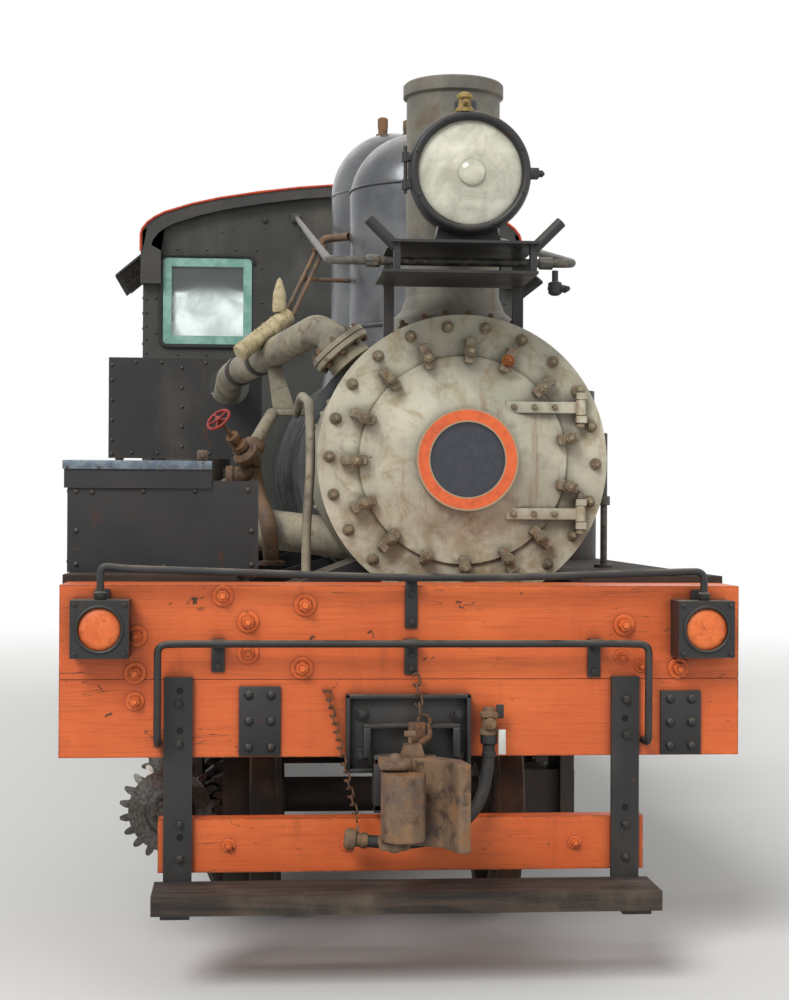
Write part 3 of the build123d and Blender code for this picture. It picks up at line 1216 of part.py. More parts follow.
# Air pump and reservoir on the other side of the boiler

pump_x = BOILER_X + JACKET_RADIUS + 190
pump_y = back(2600.0)
pump = joined(rod_z(pump_x, pump_y, DECK_Z + FIT, 1760, 140), rod_z(pump_x, pump_y, 1750, 1960, 60),
              rod_z(pump_x, pump_y, 1950, 2280, 130), rod_z(pump_x, pump_y, 2275, 2320, 70))
keep("air_pump", pump)
tank = turned_y(1010.0, 1030.0, [
    (0, back(3600.0)), (110, back(3620.0)), (150, back(3660.0)), (150, back(5300.0)),
    (110, back(5340.0)), (0, back(5360.0))])
hangers = []
for distance in (3900.0, 4800.0):
    y = back(distance)
    hangers.append(plate_xz([(960, 1150), (1060, 1150), (1060, outrigger_low(1060) - FIT),
                             (960, outrigger_low(960) - FIT)], y - 12, y + 12))
keep("air_reservoir", joined(tank, *hangers))


for name, solids in NODES.items():
    body = solids[0] if len(solids) == 1 else Compound(children=solids)
    export_step(body, "parts/" + name + ".step")
print(len(NODES), "nodes", sum(len(s) for s in NODES.values()), "solids")
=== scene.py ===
import json
import math
import random

import bmesh
import bpy
from mathutils import Matrix, Vector


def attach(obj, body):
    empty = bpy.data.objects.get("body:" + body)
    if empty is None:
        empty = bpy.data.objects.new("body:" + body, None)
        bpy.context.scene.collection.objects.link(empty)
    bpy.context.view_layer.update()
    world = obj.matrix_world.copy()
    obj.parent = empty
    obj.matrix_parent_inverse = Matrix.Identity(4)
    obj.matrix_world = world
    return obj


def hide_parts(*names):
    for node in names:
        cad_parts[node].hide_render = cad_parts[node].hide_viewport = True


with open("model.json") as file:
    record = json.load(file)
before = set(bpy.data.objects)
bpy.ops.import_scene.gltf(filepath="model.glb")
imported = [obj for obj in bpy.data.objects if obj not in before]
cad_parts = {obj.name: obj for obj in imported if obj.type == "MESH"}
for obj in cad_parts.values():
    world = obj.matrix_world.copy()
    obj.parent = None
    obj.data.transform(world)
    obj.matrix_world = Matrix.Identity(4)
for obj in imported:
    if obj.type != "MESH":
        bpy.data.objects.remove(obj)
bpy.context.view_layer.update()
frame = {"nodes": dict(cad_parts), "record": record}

NODES = frame["nodes"]

# Places taken from the CAD model, in metres
FRONT = -5.350
BOILER_X = 0.266
BOILER_Z = 1.868
RING_FACE = FRONT + 0.480
LAMP_X = 0.271
LAMP_Z = 2.954
LAMP_Y = FRONT + 0.350
CAB_Y = FRONT + 6.000
SHAFT_X = -0.860
SMOKEBOX_RADIUS = 0.552
TOOLBOX_SIDE = -1.250
CAB_SIDE = 1.295
BUNKER_SIDE = 1.180
BUNKER_TOP = 2.750
DECK_TOP = 1.430


def back(distance):
    """Y of a place so far behind the front beam's face."""
    return FRONT + distance


TOOLBOX_FACE = back(0.560)
DOME_FRONT = back(2.400)
SHIELD_FACE = back(2.700)
DOME_REAR = back(3.900)
CAB_REAR = back(7.950)
BUNKER_END = back(10.390)
HATCH_Y = back(9.900)
TRUCKS = (("front", back(1.850)), ("rear", back(8.850)))


# Camera at the photograph's viewing angle
IMAGE_LONG_SIDE = 1000
FOCAL_PIXELS = 1790.0
SENSOR = 36.0
EYE = Vector((-0.548, -11.730, 1.675))
YAW = math.atan(143.5 / FOCAL_PIXELS)
PITCH = math.atan(10.0 / FOCAL_PIXELS)
ROLL = math.radians(0.3)


def make_camera():
    data = bpy.data.cameras.new("camera")
    camera = bpy.data.objects.new("camera", data)
    bpy.context.scene.collection.objects.link(camera)
    level = Vector((math.sin(YAW), math.cos(YAW), 0))
    ahead = level * math.cos(PITCH) + Vector((0, 0, math.sin(PITCH)))
    up = Vector((0, 0, math.cos(PITCH))) - level * math.sin(PITCH)
    right = ahead.cross(up)
    tilted_right = right * math.cos(ROLL) + up * math.sin(ROLL)
    tilted_up = up * math.cos(ROLL) - right * math.sin(ROLL)
    turn = Matrix((tilted_right, tilted_up, -ahead)).transposed().to_4x4()
    camera.matrix_world = Matrix.Translation(EYE) @ turn
    data.lens = FOCAL_PIXELS / IMAGE_LONG_SIDE * SENSOR
    data.sensor_width = SENSOR
    data.clip_end = 200
    bpy.context.scene.camera = camera


make_camera()


# Materials, made node by node in the frame's own coordinates

def colour(red, green, blue):
    """Linear colour from a display colour, each part from 0 to 1."""
    parts = []
    for value in (red, green, blue):
        parts.append(value / 12.92 if value <= 0.04045 else ((value + 0.055) / 1.055) ** 2.4)
    return (*parts, 1.0)


def add_node(tree, kind, out=0, inputs=(), **settings):
    """One output of a new node, whose inputs are linked or set by name or number."""
    node = tree.nodes.new(kind)
    for name, value in settings.items():
        setattr(node, name, value)
    for name, value in dict(inputs).items():
        if isinstance(value, bpy.types.NodeSocket):
            tree.links.new(value, node.inputs[name])
        else:
            node.inputs[name].default_value = value
    return node.outputs[out] if node.outputs else None


class Finish:
    """One material; its colours are display colours."""

    def __init__(self, name, **values):
        self.material = bpy.data.materials.new(name)
        self.material.use_nodes = True
        self.tree = self.material.node_tree
        self.tree.nodes.clear()
        self.values = {key.replace("_", " "): value for key, value in values.items()}
        self.place = self.add("ShaderNodeTexCoord", "Object")

    def add(self, kind, out=0, inputs=(), **settings):
        return add_node(self.tree, kind, out, inputs, **settings)

    def stretched(self, *scale):
        return self.add("ShaderNodeMapping", 0, {"Vector": self.place, "Scale": scale})

    def noise(self, scale, detail=4.0, rough=0.55, warp=0.0, at=None):
        return self.add("ShaderNodeTexNoise", 0, {
            "Vector": at or self.place, "Scale": scale, "Detail": detail, "Roughness": rough,
            "Distortion": warp})

    def between(self, value, low, high, to_low=0.0, to_high=1.0):
        """Value from low..high mapped smoothly to to_low..to_high, held at the ends."""
        return self.add("ShaderNodeMapRange", "Result", {
            "Value": value, "From Min": low, "From Max": high, "To Min": to_low, "To Max": to_high},
            interpolation_type="SMOOTHSTEP")

    def maths(self, what, first, second):
        return self.add("ShaderNodeMath", 0, {0: first, 1: second}, operation=what, use_clamp=True)

    def times(self, first, second):
        return self.maths("MULTIPLY", first, second)

    def blended(self, share, first, second, kind="FLOAT"):
        """Number from first to second by share."""
        return self.add("ShaderNodeMix", "Result", {
            "Factor": share, "A": first, "B": second}, data_type=kind)

    def mixed(self, share, first, second):
        """Colour from first to second by share."""
        pair = [colour(*tint) if isinstance(tint, tuple) else tint for tint in (first, second)]
        return self.blended(share, *pair, "RGBA")

    def tones(self, value, low, high, first, second):
        """Colour from first to second as a value goes from low to high."""
        return self.mixed(self.between(value, low, high), first, second)

    def stain(self, base, value, low, high, share, tint):
        """Base with a tint where a value lies above low, at most by share."""
        return self.mixed(self.between(value, low, high, 0.0, share), base, tint)

    def paint_hollow_shade(self, base, distance, share, tint):
        """Base darkened by a tint in its corners and hollows, where shade falls: painted shade."""
        return self.mixed(self.times(self.hollows(distance), share), base, tint)

    def hollows(self, distance):
        """1 in corners and hollows, where shade falls, 0 in the open: the mask of the painted shade."""
        shade = self.add("ShaderNodeAmbientOcclusion", "AO", {"Distance": distance}, samples=4)
        return self.between(shade, 0.35, 0.95, 1.0, 0.0)

    def normal(self):
        return self.add("ShaderNodeNewGeometry", "Normal")

    def edges(self, radius):
        """1 along sharp edges, 0 on flats."""
        rounded = self.add("ShaderNodeBevel", 0, {"Radius": radius}, samples=4)
        dot = self.add("ShaderNodeVectorMath", "Value", {
            0: rounded, 1: self.normal()}, operation="DOT_PRODUCT")
        return self.between(dot, 0.80, 0.99, 1.0, 0.0)

    def facing_up(self):
        """1 on surfaces that face up, 0 on upright ones."""
        return self.between(self.add("ShaderNodeSeparateXYZ", "Z", {0: self.normal()}), 0.35, 0.95)

    def rise(self, height, strength=0.3, distance=0.003):
        """Adds bump from a height."""
        inputs = {"Strength": strength, "Distance": distance, "Height": height}
        if "Normal" in self.values:
            inputs["Normal"] = self.values["Normal"]
        self.values["Normal"] = self.add("ShaderNodeBump", 0, inputs)

    def done(self, base, roughness):
        self.values.update({"Base Color": base, "Roughness": roughness})
        shader = self.add("ShaderNodeBsdfPrincipled", 0, self.values)
        self.add("ShaderNodeOutputMaterial", inputs={"Surface": shader})
        return self.material


RUST = (0.42, 0.22, 0.11)
DARK_RUST = (0.24, 0.13, 0.08)
DUST = (0.56, 0.51, 0.44)


def painted_timber():
    """Orange paint on sawn timber, with checks along the grain, chips and drips."""
    look = Finish("beam_paint")
    grain = look.noise(9.0, 6, 0.65, 0.3, look.stretched(0.25, 1.0, 4.5))
    fine_grain = look.noise(42.0, 5, 0.6, 0.2, look.stretched(0.10, 1.0, 3.0))
    checks = look.noise(6.0, 2, 0.5, 0.2, look.stretched(0.30, 1.0, 4.0))
    line = look.maths(
        "MINIMUM", look.between(checks, 0.4955, 0.5), look.between(checks, 0.5, 0.5045, 1.0, 0.0))
    line = look.times(line, look.between(look.noise(2.3, 3, 0.5), 0.50, 0.60))
    chips = look.between(look.noise(16.0, 9, 0.72, 0.6), 0.655, 0.675)
    worn_edges = look.between(look.times(look.edges(0.012), look.noise(24.0, 6, 0.7)), 0.40, 0.52)
    bare = look.maths("MAXIMUM", look.maths("MAXIMUM", chips, worn_edges), line)
    paint = look.tones(look.noise(2.2, 5, 0.6), 0.35, 0.68, (0.80, 0.36, 0.15), (0.86, 0.42, 0.19))
    paint = look.stain(paint, fine_grain, 0.45, 0.75, 0.55, (0.68, 0.29, 0.12))
    drips = look.noise(6.0, 5, 0.6, 0.2, look.stretched(1.6, 1.0, 0.22))
    paint = look.stain(paint, drips, 0.58, 0.75, 0.5, (0.62, 0.27, 0.10))
    wood = look.mixed(grain, (0.20, 0.13, 0.09), (0.38, 0.29, 0.21))
    # Painted shade: a darker tint in corners and hollows.
    base = look.paint_hollow_shade(look.mixed(bare, paint, wood), 0.05, 0.75, (0.22, 0.10, 0.05))
    look.rise(grain, 0.25, 0.004)
    look.rise(fine_grain, 0.30, 0.0015)
    look.rise(look.maths("SUBTRACT", 1.0, bare), 0.5, 0.0012)
    return look.done(base, look.blended(bare, look.between(grain, 0.3, 0.7, 0.42, 0.58), 0.85))


def painted_iron(name, dark, light, rust_share=0.5, rough=(0.42, 0.62), dust=0.55, scale=1.0):
    """Weathered paint on iron, with dust on top, worn edges and a little rust."""
    look = Finish(name)
    mottle = look.noise(3.5 * scale, 7, 0.62, 0.3)
    fine = look.noise(55.0 * scale, 5, 0.6)
    base = look.tones(mottle, 0.35, 0.68, dark, light)
    edge = look.between(look.times(look.edges(0.005), look.noise(30.0, 6, 0.7)), 0.36, 0.50)
    base = look.mixed(look.times(edge, 0.55), base, (0.30, 0.27, 0.24))
    spots = look.between(look.noise(11.0 * scale, 9, 0.74, 0.5), 0.64 - 0.08 * rust_share, 0.70)
    base = look.mixed(look.times(spots, rust_share), base, RUST)
    dusty = look.times(look.facing_up(), look.between(look.noise(7.0, 6, 0.65), 0.30, 0.62))
    base = look.mixed(look.times(dusty, dust), base, DUST)
    veil = look.noise(1.6, 6, 0.6, 0.2, look.stretched(1.5, 1.5, 0.5))
    base = look.stain(base, veil, 0.52, 0.80, 0.22, DUST)
    # Painted shade: a darker tint in corners and hollows.
    base = look.paint_hollow_shade(base, 0.05, 0.6, (0.05, 0.045, 0.04))
    look.rise(mottle, 0.18, 0.004)
    look.rise(fine, 0.22, 0.0008)
    return look.done(base, look.blended(spots, look.between(mottle, 0.3, 0.7, *rough), 0.85))


def rusted_iron():
    look = Finish("rusty_iron", Metallic=0.15)
    blotch = look.noise(7.0, 8, 0.68, 0.5)
    pits = look.noise(70.0, 6, 0.65)
    base = look.tones(blotch, 0.35, 0.65, (0.37, 0.31, 0.27), (0.53, 0.42, 0.31))
    base = look.stain(base, look.noise(15.0, 7, 0.7), 0.50, 0.66, 0.8, (0.24, 0.17, 0.14))
    base = look.stain(base, look.noise(5.0, 8, 0.7, 0.6), 0.50, 0.62, 0.6, (0.55, 0.37, 0.18))
    base = look.stain(base, look.noise(3.0, 4, 0.6), 0.55, 0.72, 0.5, (0.46, 0.43, 0.38))
    # Painted shade: a darker tint in corners and hollows.
    base = look.paint_hollow_shade(base, 0.04, 0.7, (0.12, 0.08, 0.06))
    look.rise(blotch, 0.3, 0.004)
    look.rise(pits, 0.5, 0.0016)
    return look.done(base, look.between(blotch, 0.3, 0.7, 0.62, 0.86))


def grey_smokebox():
    """Weathered grey heat-proof paint, sooty above, with rust that runs down from the bolts."""
    look = Finish("smokebox_grey")
    upright = look.add("ShaderNodeSeparateXYZ", "Z", {0: look.place})
    cloud = look.noise(2.6, 7, 0.62, 0.4)
    fine = look.noise(48.0, 6, 0.65)
    base = look.tones(cloud, 0.33, 0.68, (0.63, 0.62, 0.55), (0.77, 0.75, 0.67))
    base = look.stain(base, look.noise(9.0, 8, 0.7, 0.3), 0.50, 0.70, 0.55, (0.45, 0.42, 0.36))
    base = look.stain(base, look.noise(5.5, 9, 0.72, 0.8), 0.49, 0.64, 0.65, (0.56, 0.49, 0.34))
    low = look.between(upright, 1.45, 1.80, 0.6, 0.0)
    low = look.times(low, look.between(look.noise(8.0, 8, 0.7, 0.5), 0.40, 0.60))
    base = look.mixed(low, base, (0.49, 0.40, 0.22))
    streak = look.noise(9.0, 6, 0.62, 0.15, look.stretched(2.2, 1.0, 0.16))
    streak = look.times(look.between(streak, 0.54, 0.72), look.between(look.noise(1.9, 3, 0.5), 0.42, 0.62))
    base = look.mixed(look.times(streak, 0.55), base, (0.50, 0.36, 0.22))
    base = look.stain(base, look.noise(20.0, 9, 0.74, 0.4), 0.655, 0.70, 0.8, RUST)
    soot = look.times(look.between(upright, 2.10, 2.55), look.between(cloud, 0.3, 0.6))
    base = look.mixed(look.times(soot, 0.55), base, (0.30, 0.28, 0.25))
    # Painted shade: a darker tint in corners and hollows.
    base = look.paint_hollow_shade(base, 0.06, 0.75, (0.20, 0.15, 0.11))
    look.rise(cloud, 0.20, 0.004)
    look.rise(fine, 0.30, 0.0010)
    return look.done(base, look.between(cloud, 0.3, 0.7, 0.50, 0.68))


def graphite_jacket():
    """Dark polished sheet with faint wiping marks."""
    look = Finish("jacket", Metallic=0.55)
    mottle = look.noise(2.4, 6, 0.6, 0.3)
    wipe = look.noise(14.0, 5, 0.6, 0.1, look.stretched(1.0, 1.0, 0.25))
    base = look.tones(mottle, 0.35, 0.65, (0.32, 0.33, 0.345), (0.43, 0.435, 0.44))
    base = look.stain(base, wipe, 0.5, 0.72, 0.35, (0.42, 0.41, 0.39))
    dusty = look.times(look.facing_up(), look.between(look.noise(5.0, 6, 0.65), 0.35, 0.65))
    base = look.mixed(look.times(dusty, 0.35), base, DUST)
    # Painted shade: a darker tint in corners and hollows.
    base = look.paint_hollow_shade(base, 0.08, 0.6, (0.07, 0.065, 0.06))
    look.rise(mottle, 0.10, 0.004)
    look.rise(wipe, 0.08, 0.0010)
    return look.done(base, look.between(wipe, 0.35, 0.70, 0.24, 0.42))


def machined_steel():
    look = Finish("machined_steel", Metallic=0.85)
    lines = look.noise(30.0, 4, 0.55, 0.0, look.stretched(3.0, 0.15, 3.0))
    oil = look.between(look.noise(6.0, 7, 0.65, 0.3), 0.46, 0.64)
    base = look.tones(lines, 0.35, 0.65, (0.30, 0.29, 0.28), (0.42, 0.40, 0.38))
    base = look.mixed(look.times(oil, 0.75), base, (0.20, 0.16, 0.12))
    # Painted shade: a darker tint in corners and hollows.
    base = look.paint_hollow_shade(base, 0.05, 0.7, (0.06, 0.05, 0.04))
    look.rise(lines, 0.12, 0.0006)
    return look.done(base, look.between(oil, 0.0, 1.0, 0.30, 0.55))


def wheel_steel():
    """Oily dark iron with rust."""
    look = Finish("wheel_steel", Metallic=0.45)
    blotch = look.noise(8.0, 7, 0.66, 0.4)
    base = look.tones(blotch, 0.35, 0.65, (0.13, 0.115, 0.105), (0.24, 0.195, 0.16))
    base = look.stain(base, look.noise(3.0, 6, 0.62), 0.52, 0.70, 0.65, (0.41, 0.26, 0.16))
    # Painted shade: a darker tint in corners and hollows.
    base = look.paint_hollow_shade(base, 0.05, 0.7, (0.05, 0.04, 0.035))
    look.rise(blotch, 0.25, 0.003)
    look.rise(look.noise(60.0, 5, 0.6), 0.3, 0.0010)
    return look.done(base, look.between(blotch, 0.3, 0.7, 0.42, 0.66))


def pipe_grey():
    """Grey-cream lagged casting with stains."""
    look = Finish("pipe_grey")
    cloud = look.noise(5.0, 7, 0.64, 0.3)
    base = look.tones(cloud, 0.35, 0.66, (0.47, 0.45, 0.40), (0.66, 0.62, 0.53))
    base = look.stain(base, look.noise(14.0, 8, 0.7, 0.4), 0.53, 0.68, 0.75, (0.36, 0.29, 0.22))
    # Painted shade: a darker tint in corners and hollows.
    base = look.paint_hollow_shade(base, 0.06, 0.7, (0.13, 0.10, 0.08))
    look.rise(cloud, 0.25, 0.004)
    look.rise(look.noise(60.0, 6, 0.65), 0.35, 0.0012)
    return look.done(base, look.between(cloud, 0.3, 0.7, 0.60, 0.80))


def old_plank():
    look = Finish("old_wood")
    grain = look.noise(10.0, 7, 0.66, 0.35, look.stretched(0.22, 3.0, 3.0))
    base = look.tones(grain, 0.32, 0.68, (0.10, 0.085, 0.075), (0.27, 0.22, 0.18))
    base = look.stain(base, look.noise(2.4, 5, 0.6), 0.50, 0.72, 0.5, (0.44, 0.39, 0.33))
    # Painted shade: a darker tint in corners and hollows.
    base = look.paint_hollow_shade(base, 0.05, 0.6, (0.06, 0.05, 0.04))
    look.rise(grain, 0.6, 0.004)
    return look.done(base, 0.85)


def mint_frame():
    look = Finish("mint_wood")
    grain = look.noise(12.0, 6, 0.62, 0.2)
    base = look.tones(grain, 0.36, 0.66, (0.42, 0.60, 0.55), (0.55, 0.71, 0.65))
    base = look.stain(base, look.noise(34.0, 9, 0.72, 0.5), 0.64, 0.67, 0.8, (0.30, 0.27, 0.22))
    # Painted shade: a darker tint in corners and hollows.
    base = look.paint_hollow_shade(base, 0.03, 0.6, (0.14, 0.17, 0.15))
    look.rise(grain, 0.2, 0.002)
    return look.done(base, 0.52)


def window_pane():
    look = Finish("glass", Transmission_Weight=0.92, IOR=1.45)
    film = look.noise(4.0, 6, 0.6, 0.3)
    base = look.tones(film, 0.4, 0.7, (0.80, 0.84, 0.83), (0.70, 0.74, 0.72))
    return look.done(base, look.between(film, 0.3, 0.7, 0.04, 0.22))


def frosted_lens():
    """Milky glass, with painted shade in its corners."""
    look = Finish("lens", Coat_Weight=0.6, Coat_Roughness=0.08, Subsurface_Weight=0.15)
    cloud = look.noise(9.0, 6, 0.6, 0.4)
    base = look.tones(cloud, 0.35, 0.68, (0.69, 0.68, 0.61), (0.84, 0.83, 0.76))
    # Painted shade: a darker tint in the lens's corners and hollows.
    base = look.paint_hollow_shade(base, 0.03, 0.5, (0.42, 0.40, 0.33))
    look.rise(cloud, 0.12, 0.003)
    return look.done(base, look.between(cloud, 0.3, 0.7, 0.22, 0.45))


def plate_paint():
    """Orange ring round a dark blank disc, both glossy enamel."""
    look = Finish("plate_ring", Coat_Weight=0.3, Coat_Roughness=0.15)
    axes = {}
    for axis, middle in (("X", BOILER_X + 0.006), ("Z", BOILER_Z)):
        along = look.add("ShaderNodeSeparateXYZ", axis, {0: look.place})
        axes[axis] = look.add("ShaderNodeMath", 0, {0: along, 1: middle}, operation="SUBTRACT")
    joined = look.add("ShaderNodeCombineXYZ", 0, axes)
    radius = look.add("ShaderNodeVectorMath", "Value", {0: joined}, operation="LENGTH")
    speck = look.noise(26.0, 7, 0.68, 0.3)
    ring = look.tones(speck, 0.4, 0.7, (0.86, 0.38, 0.15), (0.75, 0.31, 0.13))
    disc = look.tones(speck, 0.4, 0.7, (0.13, 0.15, 0.19), (0.19, 0.20, 0.24))
    rim = (0.62, 0.54, 0.42)
    base = look.tones(radius, 0.1425, 0.1440, disc, rim)
    base = look.tones(radius, 0.1480, 0.1490, base, ring)
    base = look.tones(radius, 0.1880, 0.1890, base, rim)
    look.rise(speck, 0.15, 0.001)
    return look.done(base, look.between(speck, 0.35, 0.7, 0.30, 0.55))


def roof_finish():
    """Dark roofing, dusty on top."""
    look = Finish("roof")
    cloud = look.noise(3.0, 7, 0.62, 0.3)
    base = look.tones(cloud, 0.35, 0.65, (0.17, 0.17, 0.17), (0.27, 0.26, 0.24))
    dusty = look.times(look.facing_up(), look.between(look.noise(6.0, 6, 0.6), 0.3, 0.7, 0.0, 0.6))
    base = look.mixed(dusty, base, (0.40, 0.37, 0.33))
    look.rise(cloud, 0.25, 0.004)
    look.rise(look.noise(60.0, 5, 0.6), 0.35, 0.0010)
    return look.done(base, look.between(cloud, 0.3, 0.7, 0.62, 0.80))


def rubber():
    look = Finish("hose")
    cloud = look.noise(14.0, 6, 0.62)
    base = look.tones(cloud, 0.4, 0.7, (0.09, 0.09, 0.09), (0.20, 0.19, 0.175))
    look.rise(look.noise(120.0, 4, 0.6), 0.3, 0.0008)
    return look.done(base, look.between(cloud, 0.3, 0.7, 0.50, 0.72))


def painted_bolt():
    """Iron washers and nuts under the beam's orange paint, worn to rust on their edges."""
    look = Finish("painted_bolt")
    blotch = look.noise(26.0, 7, 0.66, 0.4)
    worn = look.between(look.times(look.edges(0.004), look.noise(40.0, 5, 0.7)), 0.34, 0.50)
    bare = look.maths("MAXIMUM", worn, look.between(blotch, 0.60, 0.66))
    paint = look.tones(blotch, 0.35, 0.60, (0.84, 0.37, 0.14), (0.90, 0.44, 0.19))
    base = look.mixed(bare, paint, look.mixed(look.noise(18.0), DARK_RUST, (0.48, 0.26, 0.13)))
    # Painted shade: a darker tint in corners and hollows.
    base = look.paint_hollow_shade(base, 0.02, 0.7, (0.20, 0.09, 0.05))
    look.rise(look.noise(90.0, 5, 0.6), 0.4, 0.0012)
    return look.done(base, look.blended(bare, 0.50, 0.82))


def stained(name, first, second, spots, share=0.5, rough=(0.55, 0.8), metallic=0.0, scale=22.0):
    """Two close tones with blotches of a third, for small fittings."""
    look = Finish(name, Metallic=metallic)
    blotch = look.noise(scale, 7, 0.66, 0.4)
    base = look.tones(blotch, 0.36, 0.64, first, second)
    base = look.tones(look.noise(scale * 1.7, 8, 0.7), 0.60 - 0.12 * share, 0.68, base, spots)
    # Painted shade: a darker tint in corners and hollows.
    base = look.paint_hollow_shade(base, 0.02, 0.6, (0.06, 0.05, 0.04))
    look.rise(blotch, 0.25, 0.0015)
    look.rise(look.noise(scale * 5.0, 5, 0.6), 0.3, 0.0007)
    return look.done(base, look.between(blotch, 0.3, 0.7, *rough))


def clear_boss():
    look = Finish("lens_boss", Coat_Weight=0.8, Coat_Roughness=0.04)
    cloud = look.noise(14.0, 5, 0.6, 0.3)
    base = look.tones(cloud, 0.35, 0.68, (0.70, 0.69, 0.61), (0.80, 0.79, 0.71))
    return look.done(base, look.between(cloud, 0.3, 0.7, 0.10, 0.26))


MATERIALS = {
    "beam_paint": painted_timber(),
    "black_iron": painted_iron("black_iron", (0.09, 0.09, 0.095), (0.145, 0.143, 0.14)),
    "worn_iron": painted_iron("worn_iron", (0.15, 0.14, 0.13), (0.27, 0.24, 0.21), 0.8, (0.38, 0.66)),
    "rusty_iron": rusted_iron(),
    "wheel_steel": wheel_steel(),
    "machined_steel": machined_steel(),
    "smokebox_grey": grey_smokebox(),
    "jacket": graphite_jacket(),
    "pipe_grey": pipe_grey(),
    "plate_ring": plate_paint(),
    "lens": frosted_lens(),
    "glass": window_pane(),
    "cab_dark": painted_iron(
        "cab_dark", (0.155, 0.160, 0.145), (0.22, 0.225, 0.205), 0.35, (0.40, 0.58), 0.45, 0.6),
    "mint_wood": mint_frame(),
    "old_wood": old_plank(),
    "roof": roof_finish(),
    "hose": rubber(),
}
for entry in frame["record"]["subparts"]:
    mesh = NODES[entry["node"]].data
    mesh.materials.clear()
    mesh.materials.append(MATERIALS[entry["material_slot"]])

# Finishes of the scene's own pieces: slot, two tones, spots, their share, roughness, metal, scale
STAINED = {
    "dirty_bolt": ("smokebox_grey", (0.40, 0.36, 0.29), (0.58, 0.53, 0.43), (0.47, 0.34, 0.18), 0.7),
    # Near-black finish of thin discs that paint the shade inside the strap holes.
    "painted_hole_shade": ("black_iron", (0.02, 0.02, 0.02), (0.045, 0.04, 0.035), (0.08, 0.06, 0.05), 0.2,
                  (0.9, 0.95)),
    "yellow_rust": ("rusty_iron", (0.50, 0.42, 0.22), (0.62, 0.53, 0.30), (0.36, 0.24, 0.14), 0.8),
    "orange_rust": ("smokebox_grey", (0.52, 0.27, 0.10), (0.66, 0.38, 0.15), (0.35, 0.18, 0.09), 0.8),
    "orange_disc": ("lens", (0.82, 0.38, 0.16), (0.88, 0.45, 0.21), (0.66, 0.29, 0.13), 0.5, (0.35, 0.55)),
    "rail_pipe": ("black_iron", (0.22, 0.22, 0.20), (0.36, 0.35, 0.32), (0.48, 0.42, 0.34), 0.7,
                  (0.45, 0.65), 0.1),
    "stack_paint": ("smokebox_grey", (0.34, 0.33, 0.30), (0.47, 0.45, 0.40), (0.40, 0.33, 0.25), 0.6,
                    (0.5, 0.7), 0.0, 4.0),
    "clamp_iron": ("smokebox_grey", (0.42, 0.38, 0.31), (0.56, 0.52, 0.44), (0.45, 0.28, 0.15), 0.9,
                   (0.6, 0.8), 0.0, 30.0),
    "bright_edge": ("machined_steel", (0.34, 0.40, 0.45), (0.46, 0.51, 0.54), (0.30, 0.22, 0.16), 0.6,
                    (0.40, 0.6), 0.3),
    "gasket": ("hose", (0.07, 0.07, 0.07), (0.13, 0.13, 0.12), (0.24, 0.22, 0.19), 0.4, (0.55, 0.75)),
    "roof_edge": ("roof", (0.68, 0.20, 0.10), (0.80, 0.30, 0.14), (0.33, 0.20, 0.15), 0.6),
    "red_paint": ("rusty_iron", (0.50, 0.11, 0.09), (0.62, 0.17, 0.12), (0.40, 0.18, 0.12), 0.6,
                  (0.40, 0.6)),
    "lagging": ("pipe_grey", (0.66, 0.60, 0.46), (0.77, 0.72, 0.58), (0.48, 0.40, 0.28), 0.6, (0.8, 0.95)),
    "white_tag": ("hose", (0.74, 0.74, 0.72), (0.82, 0.82, 0.80), (0.60, 0.56, 0.50), 0.3, (0.5, 0.7)),
    "chain_rust": ("rusty_iron", (0.30, 0.22, 0.17), (0.44, 0.31, 0.22), (0.54, 0.33, 0.18), 0.7,
                   (0.6, 0.85), 0.3, 40.0),
}
FINISHES = {name: (material, name) for name, material in MATERIALS.items()}
FINISHES["painted_bolt"] = (painted_bolt(), "beam_paint")
FINISHES["clear_boss"] = (clear_boss(), "lens")
for name, (slot, *look) in STAINED.items():
    FINISHES[name] = (stained(name, *look), slot)


# The scene's own pieces, built from turned, boxed and swept parts

SHARP = math.radians(38)
FORWARD = (0, -1, 0)
UP = (0, 0, 1)
DOWN = (0, 0, -1)

# How far a fitting stands off a flat face, or sinks into a round one, so that no faces coincide
PROUD = 0.0002
NEAR = 0.0003
BEAM_FACE = FRONT - PROUD


def placed(at, way):
    """Place whose Z axis runs along a direction."""
    return Matrix.Translation(at) @ Vector(way).normalized().to_track_quat("Z", "Y").to_matrix().to_4x4()


def from_top(degrees, radius):
    """Across and up of a place on a circle, turned from its top."""
    turn = math.radians(degrees)
    return radius * math.sin(turn), radius * math.cos(turn)


def circle(count, radius, first=0.0, whole=360.0):
    """Evenly spaced places on a circle, from so many degrees past its top."""
    return [from_top(first + whole * n / count, radius) for n in range(count)]


def steps(start, step, count):
    """Evenly spaced places."""
    return [start + n * step for n in range(count)]


